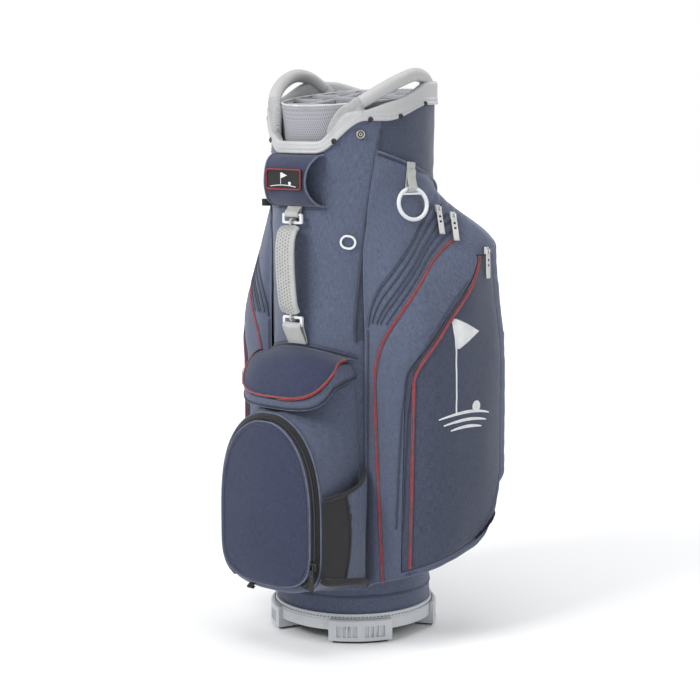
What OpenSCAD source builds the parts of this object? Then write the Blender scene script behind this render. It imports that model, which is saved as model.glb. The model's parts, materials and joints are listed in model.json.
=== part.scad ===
// Golf staff bag: an upright oval tube on a moulded base with four feet, a moulded
// top cuff with two carry handles and a 14-way divider, a ball pocket and a
// valuables pocket in front, and an apparel pocket on each side.
// The origin is on the floor under the tube's axis. The front faces -Y.

/* [Tube] */
// Outer radius of the round bottom of the tube
bottom_radius = 125; // [120:1:128]
// Half width of the tube at the top
top_half_width = 127; // [125:1:130]
// Reach of the tube's front face at the top
top_front = 138; // [134:1:140]
// Reach of the tube's back face at the top
top_back = 131; // [128:1:134]
// Thickness of the tube wall
wall = 3; // [2.5:0.5:4]
// Height of the cuff's lower edge at the front notch
notch_height = 770; // [760:1:775]

/* [Base] */
// Outer radius of the base ring
base_radius = 129.5; // [128:0.5:130]
// Outer radius of the four feet
foot_radius = 136; // [134:1:140]
// Height of the feet
foot_height = 38; // [34:1:40]
// Half of the angle that one foot covers
foot_half_angle = 22; // [18:1:26]
// Thickness of the rubber pads under the feet
pad_height = 4; // [3:1:5]

/* [Handles] */
// Radius of the handle cores
core_radius = 7; // [6:0.5:8]
// Outer radius of the handle grips
grip_radius = 10.2; // [9.8:0.1:11]
// Height of the top of the handles
handle_top = 901.2; // [898:0.8:906]

/* [Dividers] */
// Thickness of the full-length divider walls
divider_wall = 1.5; // [1:0.5:2]
// Width of the padded bars at the mouth
divider_bar = 12; // [10:1:14]

/* [Ball pocket] */
// Half width of the ball pocket's front panel
ball_half_width = 91; // [86:1:93]
// Lowest point of the front panel
ball_bottom = 107; // [104:1:112]
// Highest point of the front panel
ball_top = 362; // [355:1:364]
// Distance from the tube's axis to the front panel
ball_front = 208; // [204:1:212]

/* [Apparel pockets] */
// How far a pocket's outer face stands from the tube's axis
pocket_reach = 216; // [212:1:218]
// Thickness of the padded panels
panel_wall = 3; // [2.5:0.5:3]

/* [Hidden] */

fabric = "slategray";
trim_grey = "gainsboro";
piping_red = "indianred";

gap = 0.5;
piping_radius = 1.6;
ring_base_z = 20;
ring_top_z = 46;
tube_base_z = 36.4;
tube_axis_base = 44;
tube_axis_top = 840;
columns = 72;

// ---------- general functions ----------

function lerp(a, b, t) = a + (b - a) * t;
function clamp01(t) = max(0, min(1, t));
function smooth(t) = let (c = clamp01(t)) c * c * (3 - 2 * c);
function unit(v) = v / norm(v);
function flat(rows) = [for (row = rows) for (p = row) p];
function power(x, e) = sign(x) * pow(abs(x), e);

// A smooth curve through a list of points, for t from 0 to 1
function spline(points, t) =
  let (
    last = len(points) - 1,
    u = clamp01(t) * last,
    i = min(last - 1, floor(u)),
    f = u - i,
    p0 = points[max(0, i - 1)],
    p1 = points[i],
    p2 = points[i + 1],
    p3 = points[min(last, i + 2)]
  )
  0.5 * (2 * p1 + (p2 - p0) * f + (2 * p0 - 5 * p1 + 4 * p2 - p3) * f * f
    + (3 * p1 - p0 - 3 * p2 + p3) * f * f * f);

// A thin solid between two grids of points of the same size
module slab(outer, inner, closed = false) {
  rows = len(outer);
  cols = len(outer[0]);
  steps = closed ? cols : cols - 1;
  shift = rows * cols;
  function at(i, j) = i * cols + (j % cols);
  skin = [for (i = [0:rows - 2]) for (j = [0:steps - 1])
    for (f = [[at(i, j), at(i + 1, j), at(i + 1, j + 1)], [at(i, j), at(i + 1, j + 1), at(i, j + 1)]])
      f];
  back = [for (f = skin) [f[2] + shift, f[1] + shift, f[0] + shift]];
  rim = [for (e = [[0, 1], [rows - 1, -1]]) for (j = [0:steps - 1])
    let (p = at(e[0], j), q = at(e[0], j + 1))
    for (f = e[1] > 0
      ? [[p, q, q + shift], [p, q + shift, p + shift]]
      : [[q, p, p + shift], [q, p + shift, q + shift]])
      f];
  sides = closed ? [] : [for (e = [[0, -1], [cols - 1, 1]]) for (i = [0:rows - 2])
    let (p = at(i, e[0]), q = at(i + 1, e[0]))
    for (f = e[1] > 0
      ? [[p, q, q + shift], [p, q + shift, p + shift]]
      : [[q, p, p + shift], [q, p + shift, q + shift]])
      f];
  polyhedron(points = concat(flat(outer), flat(inner)), faces = concat(skin, back, rim, sides));
}

// A tube of round section swept along a path
module sweep(path, radius, sides = 8) {
  last = len(path) - 1;
  function along(i) = unit(path[min(last, i + 1)] - path[max(0, min(last, i) - 1)]);
  function square_to(n, i) = unit(n - (n * along(i)) * along(i));
  first = unit(cross(along(0), abs(along(0)[2]) < 0.9 ? [0, 0, 1] : [0, 1, 0]));
  normals = [for (i = 0, n = first; i <= last; i = i + 1, n = square_to(n, i)) n];
  points = [for (i = [0:last]) for (k = [0:sides - 1])
    let (a = 360 * k / sides, n = square_to(normals[i], i), b = cross(along(i), n))
    path[i] + radius * (cos(a) * n + sin(a) * b)];
  walls = [for (i = [0:last - 1]) for (k = [0:sides - 1])
    let (p = i * sides + k, q = i * sides + (k + 1) % sides)
    for (f = [[p, q + sides, q], [p, p + sides, q + sides]]) f];
  caps = [[for (k = [0:sides - 1]) k], [for (k = [sides - 1:-1:0]) last * sides + k]];
  polyhedron(points = points, faces = concat(walls, caps));
}

// Points once round the unit square, counter-clockwise from its low corner
function square_loop(n) = [for (k = [0:4 * n - 1])
  let (side = floor(k / n), t = (k % n) / n)
  side == 0 ? [t, 0] : side == 1 ? [1, t] : side == 2 ? [1 - t, 1] : [0, 1 - t]];

// ---------- tube ----------

function rise(z) = clamp01((z - tube_axis_base) / (tube_axis_top - tube_axis_base));
function tube_half_width(z) = lerp(bottom_radius, top_half_width, rise(z));
function tube_reach(z, front) = lerp(bottom_radius, front ? top_front : top_back, rise(z));

// A point on the tube: the angle runs from the front (-Y) towards +X
function tube_point(angle, z, out = 0) = [
  (tube_half_width(z) + out) * sin(angle),
  -(tube_reach(z, cos(angle) > 0) + out) * cos(angle),
  z
];
function tube_front_y(x, z, out = 0) =
  -(tube_reach(z, true) + out) * sqrt(max(0, 1 - pow(x / (tube_half_width(z) + out), 2)));

// Edges of the cuff round the tube
function from_front(angle) = let (a = (angle % 360 + 360) % 360) a > 180 ? 360 - a : a;
function cuff_low(angle) = let (a = from_front(angle))
  notch_height + 50 * smooth((a - 16) / 34) + 24 * smooth((a - 64) / 36);
function cuff_high(angle) = let (a = from_front(angle))
  notch_height + 19 + 44 * smooth((a - 17) / 22) + 20 * smooth((a - 40) / 38) + 28 * smooth((a - 70) / 36)
    - 14 * smooth((a - 122) / 30);
function tube_top(angle) = cuff_low(angle) + 6;

module tube_shell() {
  angles = [for (k = [0:columns - 1]) 360 * k / columns];
  levels = [0, 0.5, 1];
  outer = [for (t = levels) [for (a = angles) tube_point(a, lerp(tube_base_z, tube_top(a), t))]];
  inner = [for (t = levels) [for (a = angles) tube_point(a, lerp(tube_base_z, tube_top(a), t), -wall)]];
  color(fabric) slab(outer, inner, true);
}

// ---------- base ----------

module base_ring() {
  seat = bottom_radius + gap;
  ledge = bottom_radius - wall - 1;
  color(trim_grey) rotate_extrude($fn = 96)
    polygon([
      [ledge - 10, ring_base_z], [base_radius, ring_base_z],
      [base_radius, 36], [base_radius - 1, 37.5], [base_radius - 1, ring_top_z], [seat, ring_top_z],
      [seat, 36], [ledge, 36], [ledge, 26], [ledge - 10, 26]
    ]);
}

module base_floor() {
  color("dimgray") translate([0, 0, 26.2]) cylinder(r = bottom_radius - wall - 1.4, h = 3, $fn = 96);
}

module at_feet() {
  for (a = [45:90:315]) rotate([0, 0, a]) children();
}

// One foot faces +X: a wedge of an L section, with two recessed panels and ribs
module foot() {
  half = foot_half_angle;
  difference() {
    rotate([0, 0, -half]) rotate_extrude(angle = 2 * half, $fn = 96)
      polygon([
        [98, pad_height], [foot_radius, pad_height], [foot_radius, foot_height - 2],
        [foot_radius - 2, foot_height], [base_radius + 0.3, foot_height], [base_radius + 0.3, ring_base_z],
        [98, ring_base_z]
      ]);
    for (side = [-1, 1]) rotate([0, 0, side * 9.5 - 7]) rotate_extrude(angle = 14, $fn = 96)
      translate([foot_radius - 3, 10]) square([10, 18]);
    for (side = [-1, 1]) translate([0, side * 60, 0]) rotate([side * 16, 0, 0])
      translate([80, side * 20 - 20, -20]) cube([80, 40, 100]);
  }
  for (side = [-1, 1]) for (k = [-1:1]) rotate([0, 0, side * 9.5 + k * 3.4 - 0.6])
    rotate_extrude(angle = 1.2, $fn = 96) translate([foot_radius - 4, 10]) square([3, 18]);
}

module base_feet() {
  color(trim_grey) at_feet() foot();
}

module foot_pads() {
  color("dimgray") at_feet() rotate([0, 0, 3 - foot_half_angle])
    rotate_extrude(angle = 2 * foot_half_angle - 6, $fn = 96)
      translate([104, 0]) square([foot_radius - 108, pad_height]);
}

module stay_rods() {
  color("silver") for (a = [45:90:315]) rotate([0, 0, a])
    translate([bottom_radius - wall - 8, 0, 29.6]) cylinder(r = 4, h = 760, $fn = 24);
}

// ---------- dividers ----------

divider_x = 38;
divider_low = 30;
divider_half_length = 98;
side_rows = [-62, -21, 21, 62];
centre_rows = [-66, 0, 62];

function bar_top(y) = 842 + 26 * clamp01((y + 100) / 160);

module cross_pieces(thick, low, high) {
  bar = max(thick, 1);
  for (y = centre_rows) translate([-divider_x + bar / 2 + 0.2, y - bar / 2, low])
    cube([2 * divider_x - bar - 0.4, bar, high ? bar_top(y) - 1 - low : 830 - low]);
  for (side = [-1, 1]) for (y = side_rows) {
    x0 = divider_x + bar / 2 + 0.2;
    x1 = abs(y) > 40 ? 84 : 102;
    translate([side > 0 ? x0 : -x1, y - bar / 2, low])
      cube([x1 - x0, bar, high ? bar_top(y) - 1 - low : 830 - low]);
  }
}

module divider_walls() {
  color("dimgray") {
    for (side = [-1, 1]) translate([side * divider_x - divider_wall / 2, -divider_half_length, divider_low])
      cube([divider_wall, 2 * divider_half_length, 830 - divider_low]);
    cross_pieces(divider_wall, divider_low, false);
  }
}

// Padded lining inside the cuff, which the cross bars run into
module divider_rim() {
  angles = [for (k = [0:columns - 1]) 360 * k / columns];
  function row(t, out) = [for (a = angles)
    let (low = cuff_low(a) - 4, high = 842 + 13 * (1 - cos(a))) tube_point(a, lerp(low, high, t), out)];
  levels = [0, 0.9, 1];
  color("silver") slab([for (t = levels) row(t, -16 - 1.5 * t)], [for (t = levels) row(t, -20.5)], true);
}

module divider_frame() {
  low = 830.4;
  front = divider_half_length + 6;
  back = divider_half_length;
  color("silver") {
    for (side = [-1, 1]) translate([side * divider_x + divider_bar / 2, 0, 0]) rotate([0, -90, 0])
      linear_extrude(divider_bar)
        polygon([[low, -front], [842, -front], [866, back - 24], [866, back], [low, back]]);
    cross_pieces(divider_bar, low, true);
  }
}

// ---------- cuff and handles ----------

// Carry handle's middle line, as angle from the front and drop below the crown
handle_line = [[31, 62], [45, 46], [60, 27], [76, 10], [90, 1], [103, 5], [114, 20], [121, 32]];

// Middle line of a carry handle, which arches over the cuff on one side
function handle_point(t) =
  let (h = spline(handle_line, t), p = tube_point(h[0], 800, -7 + 1.5 * sin(180 * t)))
  [p[0], p[1], handle_top - grip_radius - h[1]];

function handle_path(t0, t1, n) = [for (k = [0:n]) handle_point(lerp(t0, t1, k / n))];

module top_cuff() {
  angles = [for (k = [0:columns - 1]) 360 * k / columns];
  // Section of the cuff: an upside-down channel that sits over the tube's edge
  function section(a) =
    let (low = cuff_low(a), high = cuff_high(a), edge = tube_top(a) + gap)
    [[4, low], [4.5, high - 5], [2, high - 1], [-2, high], [-8, high - 2], [-10, high - 8],
      [-9, low + 6], [-wall - gap, low], [-wall - gap, edge], [gap, edge], [gap, low]];
  count = len(section(0));
  points = [for (a = angles) for (p = section(a)) tube_point(a, p[1], p[0])];
  faces = [for (i = [0:columns - 1]) for (j = [0:count - 1])
    let (
      p = i * count + j,
      q = i * count + (j + 1) % count,
      r = ((i + 1) % columns) * count + j,
      s = ((i + 1) % columns) * count + (j + 1) % count
    )
    for (f = [[p, q, s], [p, s, r]]) f];
  color(trim_grey) {
    polyhedron(points = points, faces = faces);
    for (side = [0, 1]) mirror([side, 0, 0]) sweep(handle_path(0, 1, 22), core_radius, 10);
  }
}

module handle_grip() {
  path = handle_path(0.19, 0.66, 18);
  difference() {
    sweep(path, grip_radius, 14);
    sweep(handle_path(0.14, 0.71, 20), core_radius + gap, 10);
  }
}

module right_handle_grip() { color("lightgray") handle_grip(); }
module left_handle_grip() { color("lightgray") mirror([1, 0, 0]) handle_grip(); }

screw_angles = [29.5, 53, 74, 97];

module cuff_screws() {
  color("black") for (side = [0, 1]) mirror([side, 0, 0]) for (a = screw_angles) {
    p = tube_point(a, cuff_low(a) + 2.2, 4.6);
    translate(p) rotate([0, 90, a - 90]) {
      cylinder(r = 4.3, h = 1.2, $fn = 32);
      translate([0, 0, 1.2]) cylinder(r1 = 4.3, r2 = 3, h = 1.4, $fn = 32);
    }
  }
}

// ---------- front: pouch, badge and grab handle ----------

pouch_half_width = 49;
pouch_low = 690;
pouch_high = 769;
pouch_face = 166;

module badge_pouch() {
  steps = 12;
  function at(u, t, inset) =
    let (
      z = lerp(pouch_low, pouch_high, t),
      bulge = pow(sin(180 * t), 0.5),
      x = u * (pouch_half_width - 8 * sin(180 * t)),
      near = tube_front_y(x, z, gap + panel_wall)
    )
    [x, lerp(near, -pouch_face, bulge) + inset, z];
  color(fabric) slab(
    [for (i = [0:steps]) [for (j = [0:steps]) at(2 * j / steps - 1, i / steps, 0)]],
    [for (i = [0:steps]) [for (j = [0:steps]) at(2 * j / steps - 1, i / steps, panel_wall)]]
  );
}

// A plate that faces -Y, with round corners
module rounded_plate(w, h, r, thick) {
  rotate([90, 0, 0]) linear_extrude(thick)
    union() {
      square([w - 2 * r, h], center = true);
      square([w, h - 2 * r], center = true);
      for (sx = [-1, 1]) for (sz = [-1, 1])
        translate([sx * (w / 2 - r), sz * (h / 2 - r)]) circle(r, $fn = 24);
    }
}

module badge_patch() {
  color("black") translate([0, -pouch_face - 0.4, 732]) rounded_plate(72, 33, 4, 1.6);
}

handle_axis_y = -146;
upper_ring_z = 671;
lower_ring_z = 512;

module webbing_ring(z) {
  translate([0, handle_axis_y + 1.8, z]) difference() {
    rounded_plate(40, 16, 3, 3.6);
    translate([0, 1, 0]) rounded_plate(31, 8.6, 1.5, 6);
  }
}

module upper_handle_ring() { color("white") webbing_ring(upper_ring_z); }
module lower_handle_ring() { color("white") webbing_ring(lower_ring_z); }

// Webbing that is sewn to the tube and ends just short of a ring's outer bar
module ring_tab(bar_z, end_z, half) {
  side = sign(end_z - bar_z);
  near = -tube_reach(bar_z, true) - 0.8;
  color(trim_grey) translate([-half, 0, 0]) rotate([90, 0, 90]) linear_extrude(2 * half)
    polygon([
      [near, bar_z], [handle_axis_y - 1, bar_z], [handle_axis_y - 1, bar_z + side * 2],
      [near - 2, bar_z + side * 9], [near - 2, end_z], [near - 0.4, end_z]
    ]);
}

module upper_handle_anchor() { ring_tab(upper_ring_z + 8.4, upper_ring_z + 12, 14); }
module lower_handle_strap() { ring_tab(lower_ring_z - 8.4, 478, 19); }

// Side outline of the grab handle, as [y, z]: out from the upper ring, back to the lower one
grab_line = [
  [-148.5, 659], [-160, 651], [-167, 638], [-170, 620], [-168.5, 590], [-165, 560], [-159, 538], [-148.5, 524]
];

// A band of the grab handle, from share t0 to t1 of its outline
module grab_band(t0, t1, half, thick) {
  count = 20;
  middle = [for (k = [0:count]) spline(grab_line, lerp(t0, t1, k / count))];
  function across(k) = let (d = unit(middle[min(count, k + 1)] - middle[max(0, k - 1)])) [-d[1], d[0]];
  translate([-half, 0, 0]) rotate([90, 0, 90]) linear_extrude(2 * half)
    polygon(concat(
      [for (k = [0:count]) middle[k] + thick / 2 * across(k)],
      [for (k = [count:-1:0]) middle[k] - thick / 2 * across(k)]
    ));
}

module front_handle() {
  color(trim_grey) {
    grab_band(0.09, 0.93, 18.5, 5);
    grab_band(0, 1, 8, 2.4);
    for (z = [upper_ring_z - 6.2, lower_ring_z + 6.2])
      translate([0, handle_axis_y, z]) rotate([0, 90, 0]) rotate_extrude($fn = 48)
        translate([5.6, 0]) circle(1.6, $fn = 16);
  }
}

// ---------- small fittings ----------

module snap_stud() {
  p = tube_point(46.8, 800, 0.6);
  color("silver") translate(p) rotate([0, 90, 46.8 - 90]) {
    cylinder(r = 6.5, h = 1.5, $fn = 40);
    translate([0, 0, 1.5]) cylinder(r = 3.2, h = 2.5, $fn = 32);
  }
}

module oval_eyelet() {
  p = tube_point(38, 636, 1.2);
  color("white") translate(p) rotate([0, 0, 38]) rotate([0, 12, 0]) rotate([90, 0, 0]) linear_extrude(2)
    difference() {
      union() {
        square([3.5, 22], center = true);
        for (s = [-1, 1]) translate([s * 1.75, 0]) circle(11, $fn = 48);
      }
      union() {
        square([3.5, 15.4], center = true);
        for (s = [-1, 1]) translate([s * 1.75, 0]) circle(7.7, $fn = 48);
      }
    }
}

module side_loop() {
  p = tube_point(-47.5, 690, 0.8);
  color("black") translate(p) rotate([0, 0, -47.5]) translate([0, 0, -9]) linear_extrude(18)
    difference() {
      union() {
        translate([-6.5, -9]) square([13, 9]);
        translate([0, -9]) circle(8, $fn = 32);
      }
      translate([0, -9]) circle(5.5, $fn = 32);
    }
}

// ---------- front pockets ----------

// Half width of the ball panel's outline at a height, widened by grow all round
function ball_width(z, grow) =
  let (
    middle = 200,
    up = (z - middle) / (ball_top + grow - middle),
    down = (middle - z) / (middle - ball_bottom + grow)
  )
  (ball_half_width + grow)
    * (z > middle ? sqrt(max(0, 1 - pow(up, 2.8))) : pow(max(0, 1 - pow(down, 5)), 0.4));

function ball_z(t, grow) = lerp(ball_bottom - grow + 0.4, ball_top + grow - 1.2, (1 - cos(180 * t)) / 2);

function ball_edge(uv, grow, y) =
  let (z = ball_z(uv[1], grow)) [(2 * uv[0] - 1) * ball_width(z, grow), y, z];

// Where the ball pocket's walls meet the tube
function ball_root(uv, inset) =
  let (
    u = 2 * uv[0] - 1,
    z = lerp(86 + inset, 377 + 50 * u * u - inset, uv[1]),
    x = u * (tube_half_width(z) * sin(seam_angle(z)) - 3.5 - inset)
  )
  [x, tube_front_y(x, z, gap + 0.3), z];

module ball_pocket() {
  loop = square_loop(12);
  band = 13;
  function row(inset, k) = [for (uv = loop)
    let (
      front = ball_edge(uv, band - inset, 4 - ball_front),
      root = ball_root(uv, inset),
      mid = [lerp(front[0], root[0], k), lerp(front[1], root[1], k), lerp(front[2], root[2], pow(k, 0.7))]
    )
    mid];
  lip = [for (uv = loop) ball_edge(uv, 1, -ball_front)];
  lip_back = [for (uv = loop) ball_edge(uv, 1, panel_wall - ball_front)];
  levels = [0, 0.2, 0.45, 0.7, 1];
  function back_of(k) = [0, k == 0 ? panel_wall : 0, 0];
  outer = concat([lip], [for (k = levels) row(0, k)]);
  inner = concat([lip_back], [for (k = levels) [for (p = row(panel_wall, k)) p + back_of(k)]]);
  color(fabric) slab(inner, outer, true);
}

module ball_zip_tape() {
  loop = square_loop(12);
  y = -ball_front - 0.5;
  function tape(y_front) = [
    [for (uv = loop) ball_edge(uv, 1.6, y_front)],
    [for (uv = loop) ball_edge(uv, 11, y_front + 2.6)]
  ];
  color("black") slab(tape(y), tape(y - 1.5), true);
}

module ball_panel() {
  steps = 12;
  function at(u, t, inset) =
    let (p = ball_edge([u, t], -0.6, 0), round = sin(180 * u) * sin(180 * t))
    [p[0], -ball_front - 1 - 7 * pow(max(0, round), 0.4) + inset, p[2]];
  color(fabric) slab(
    [for (i = [0:steps]) [for (j = [0:steps]) at(j / steps, i / steps, 0)]],
    [for (i = [0:steps]) [for (j = [0:steps]) at(j / steps, i / steps, panel_wall)]]
  );
}

module ball_piping() {
  loop = square_loop(9);
  path = [for (uv = concat(loop, [loop[0]])) ball_edge(uv, -5.5, -ball_front - 7.6)];
  color("navy") sweep([for (k = [1:len(path) - 2]) path[k]], 1.2, 6);
}

ball_slider_spot = [98, -ball_front - 2.6, 150];

module zip_slider(w, h, thick) {
  translate([0, -thick / 2, 0]) difference() {
    cube([w, thick, h], center = true);
    translate([0, -thick / 2, 0]) cube([w / 3, 1, h + 2], center = true);
  }
}

// A flat pull that hangs from the origin, with two square holes
module zip_pull(w, long, thick) {
  hole = w * 0.32;
  translate([0, -thick / 2, 0]) difference() {
    union() {
      translate([0, 0, -long / 2 - 2]) cube([w, thick, long], center = true);
      translate([0, 0, -2]) rotate([90, 0, 0]) cylinder(r = w / 2, h = thick, center = true, $fn = 24);
    }
    for (z = [0.36, 0.56]) translate([0, 0, -long * z]) cube([hole, 3 * thick, hole], center = true);
  }
}

module ball_slider() {
  color("black") translate(ball_slider_spot) zip_slider(9, 12, 4);
}

module ball_pull() {
  color("black") translate(ball_slider_spot + [0, -4.6, 0]) zip_pull(7, 36, 2);
}

// Front edge of the valuables lid, for u from -1 (left) to 1 (right)
function lid_edge(u) =
  let (angle = 90 * u)
  [89 * power(sin(angle), 0.8), -140 - 58 * pow(max(0, cos(angle)), 0.75),
    400 + 50 * pow(1 - max(0, cos(angle)), 1.5)];
function lid_root(u, out) =
  let (x = 90 * u, z = 470 - 18 * u * u) [x, tube_front_y(x, z, out), z];
function lid_point(u, t, lift) =
  let (a = lid_root(u, 3.5), b = lid_edge(u), p = lerp(a, b, t))
  p + [0, -8 * sin(180 * t), 15 * sin(180 * t) * (1 - 0.6 * u * u) + lift];

module valuables_lid() {
  steps = 12;
  us = [for (j = [0:steps]) 0.94 * (2 * j / steps - 1)];
  color(fabric) slab(
    [for (i = [0:8]) [for (u = us) lid_point(u, i / 8, -panel_wall)]],
    [for (i = [0:8]) [for (u = us) lid_point(u, i / 8, 0)]]
  );
}

module valuables_piping() {
  path = [for (k = [-15:15]) lid_point(k / 15 * 0.92, 1, 0) + [0, -2.4, -1]];
  color(piping_red) sweep(path, piping_radius, 6);
}

module valuables_pocket() {
  steps = 12;
  low = 383;
  function at(u, t, inset) =
    let (
      e = lid_edge(0.9 * u),
      top = e + [0, 0, -panel_wall - 1.2],
      z = lerp(low + 30 * u * u * u * u, top[2], t),
      c = [e[0], e[1] + 2]
    )
    [c[0] * (1 - inset / 95), c[1] + inset, z];
  color(fabric) slab(
    [for (i = [0:3]) [for (j = [0:2 * steps]) at(j / steps - 1, i / 3, 0)]],
    [for (i = [0:3]) [for (j = [0:2 * steps]) at(j / steps - 1, i / 3, panel_wall)]]
  );
}

valuables_heading = -78;
valuables_spot = lid_edge(-0.86) + [-4.5, 0, -8];

module valuables_slider() {
  color("lightgray") translate(valuables_spot) rotate([0, 0, valuables_heading]) zip_slider(6, 8, 3);
}

module valuables_pull() {
  color("lightgray") translate(valuables_spot) rotate([0, 0, valuables_heading])
    translate([0, -3.6, 0]) zip_pull(5, 20, 1.6);
}

// Bottle sleeve on the right of the ball pocket, open at the top
sleeve_line = [[106.5, -201], [112, -188], [117, -150], [115, -118], [106, -97]];
function sleeve_low(t) = lerp(124, 98, t);
function sleeve_top(t) = 252 + 20 * t;

module bottle_sleeve() {
  steps = 14;
  function at(t, k, inset) =
    let (p = spline(sleeve_line, t), slim = 1 - 0.35 * pow(1 - k, 3))
    [lerp(106, p[0], slim) - inset, p[1], lerp(sleeve_low(t), sleeve_top(t), k)];
  color("dimgray") slab(
    [for (i = [0:5]) [for (j = [0:steps]) at(j / steps, i / 5, 0)]],
    [for (i = [0:5]) [for (j = [0:steps]) at(j / steps, i / 5, 1.5)]]
  );
}

module bottle_binding() {
  function rim_point(t) = let (p = spline(sleeve_line, t)) [p[0] - 0.75, p[1], sleeve_top(t) + 3];
  color("black") sweep([for (k = [0:16]) rim_point(k / 16)], 2.6, 8);
}

// ---------- apparel pockets ----------

// Outline of the pocket seen from above, from the front seam to the back of the tube
pocket_line = [
  [100, -88], [125, -88], [165, -74], [195, -49], [210, -10], [pocket_reach - 2, 32], [pocket_reach, 72],
  [pocket_reach - 2, 108], [196, 134], [140, 134], [84, 102]
];
panel_back_s = 0.7;

function seam_angle(z) = z > 500
  ? 42.5 + 18 * pow(clamp01((z - 500) / 300), 1.3)
  : 42.5 + 10.5 * pow(clamp01((500 - z) / 417), 1.1);
function pocket_top_z(s) = 776 - 74 * pow(s, 1.15);
function pocket_edge_z(s) = 95 + 120 * s + 78 * pow(clamp01((s - 0.5) / 0.2), 2.4);
function pocket_root_z(s) = 90 + 0.8 * (pocket_edge_z(s) - 95);

// How full the pocket is at a height: 0 on the tube, 1 at its full reach
function pocket_depth(s, z) =
  let (
    back = smooth((s - 0.35) / 0.3),
    head = smooth((pocket_top_z(s) - z) / lerp(300, 104, back)),
    low = pocket_root_z(s),
    foot_t = clamp01((z - low) / (pocket_edge_z(s) - low)),
    foot = pow(max(0, 1 - pow(1 - foot_t, 2.5)), 0.4)
  )
  min(head, foot) * (1 - 0.14 * back * smooth((z - 430) / 190));

function pocket_point(s, z, out) =
  let (
    angle = seam_angle(z) + (142 - seam_angle(z)) * pow(s, 1.1),
    near = tube_point(angle, z, gap),
    far = spline(pocket_line, s),
    step = [far[0] - near[0], far[1] - near[1]],
    reach = norm(step),
    away = reach > 1 ? step / reach : [sin(angle), -cos(angle)],
    d = max(panel_wall, reach * pocket_depth(s, z)) + out
  )
  [near[0] + away[0] * d, near[1] + away[1] * d, z];

// Where the two red pipings run over the pocket, by height
function inner_piping_s(z) = z > 415
  ? 0.073 + 0.464 * pow((z - 415) / 225, 2)
  : 0.073 + 0.045 * (415 - z) / 306;
function outer_piping_s(z) =
  let (t = clamp01((z - 425) / 178))
  0.232 - 0.012 * clamp01((425 - z) / 300) + 0.185 * (pow(sin(90 * t), 1.6) + t);

panel_low_z = 112;
panel_high_z = 612;

function panel_map(u, t, margin) =
  let (
    z0 = lerp(panel_low_z, panel_high_z, t),
    s0 = outer_piping_s(z0) - 0.03,
    s = lerp(s0 + margin / 300, panel_back_s - margin / 300, u),
    low = pocket_edge_z(s) + 6,
    z = lerp(low + margin, panel_high_z - margin, t)
  )
  [s, z];

function pocket_map(u, t) = [u, lerp(pocket_root_z(u), pocket_top_z(u), t)];

module apparel_pocket() {
  loop = square_loop(12);
  levels = [0, 0.3, 0.6, 0.8, 0.93, 1];
  function row(k, out) = [for (uv = loop)
    let (p = lerp(panel_map(uv[0], uv[1], -0.6), pocket_map(uv[0], uv[1]), k))
    pocket_point(p[0], p[1], out)];
  color(fabric) slab([for (k = levels) row(k, -panel_wall)], [for (k = levels) row(k, 0)], true);
}

module apparel_panel() {
  steps = 12;
  function grid(out) = [for (i = [0:steps]) [for (j = [0:steps])
    let (p = panel_map(j / steps, i / steps, 0.8))
    pocket_point(p[0], p[1], out)]];
  color("lightslategray") slab(grid(0), grid(-panel_wall));
}

module inner_piping() {
  color(piping_red) sweep([for (k = [0:28])
    let (z = lerp(104, 652, k / 28)) pocket_point(inner_piping_s(z), z, 5.2)], piping_radius, 6);
}

module outer_piping() {
  color(piping_red) sweep([for (k = [0:28])
    let (t = lerp(0.02, 0.99, k / 28), p = panel_map(0.065, t, 0.8)) pocket_point(p[0], p[1], 2.3)],
    piping_radius, 6);
}

module right_apparel_pocket() { apparel_pocket(); }
module left_apparel_pocket() { mirror([1, 0, 0]) apparel_pocket(); }
module right_apparel_panel() { apparel_panel(); }
module left_apparel_panel() { mirror([1, 0, 0]) apparel_panel(); }
module right_inner_piping() { inner_piping(); }
module left_inner_piping() { mirror([1, 0, 0]) inner_piping(); }
module right_outer_piping() { outer_piping(); }
module left_outer_piping() { mirror([1, 0, 0]) outer_piping(); }

// Zip pulls lie on the pocket: share of its outline and height at the top, and share at the tip
pull_spots = [[0.525, 684, 0.475], [0.572, 673, 0.515], [0.61, 619, 0.605]];
pull_drop = 44;

pull_gap = 3.6;
slider_out = 5.6;

// A frame that hangs from top to tip: X along side, -Y outwards, +Z up
function hang_frame(top, tip, side) =
  let (
    z = unit(top - tip),
    x = unit(side - (side * z) * z),
    y = cross(z, x)
  )
  [[x[0], y[0], z[0], top[0]], [x[1], y[1], z[1], top[1]], [x[2], y[2], z[2], top[2]], [0, 0, 0, 1]];

// The direction along the pocket's outline at a place on it
function pocket_side(s, z) = pocket_point(s + 0.02, z, 0) - pocket_point(s - 0.02, z, 0);

module at_pull(spot) {
  multmatrix(hang_frame(
    pocket_point(spot[0], spot[1], slider_out),
    pocket_point(spot[2], spot[1] - pull_drop, slider_out),
    pocket_side(spot[0], spot[1])
  )) children();
}

module apparel_slider(k) {
  color("lightgray") at_pull(pull_spots[k]) zip_slider(8, 11, 3);
}

module zip_sliders() {
  for (k = [0, 1]) apparel_slider(k);
}

module apparel_pull(k) {
  color("lightgray") at_pull(pull_spots[k]) translate([0, -pull_gap, 0]) zip_pull(10, 44, 2.2);
}

module right_zip_sliders() { zip_sliders(); }
module left_zip_sliders() { mirror([1, 0, 0]) zip_sliders(); }
module right_outer_slider() { apparel_slider(2); }
module left_outer_slider() { mirror([1, 0, 0]) apparel_slider(2); }
module right_upper_pull() { apparel_pull(0); }
module right_middle_pull() { apparel_pull(1); }
module right_outer_pull() { apparel_pull(2); }
module left_upper_pull() { mirror([1, 0, 0]) apparel_pull(0); }
module left_middle_pull() { mirror([1, 0, 0]) apparel_pull(1); }
module left_outer_pull() { mirror([1, 0, 0]) apparel_pull(2); }

// ---------- back, loops and towel ring ----------

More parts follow.
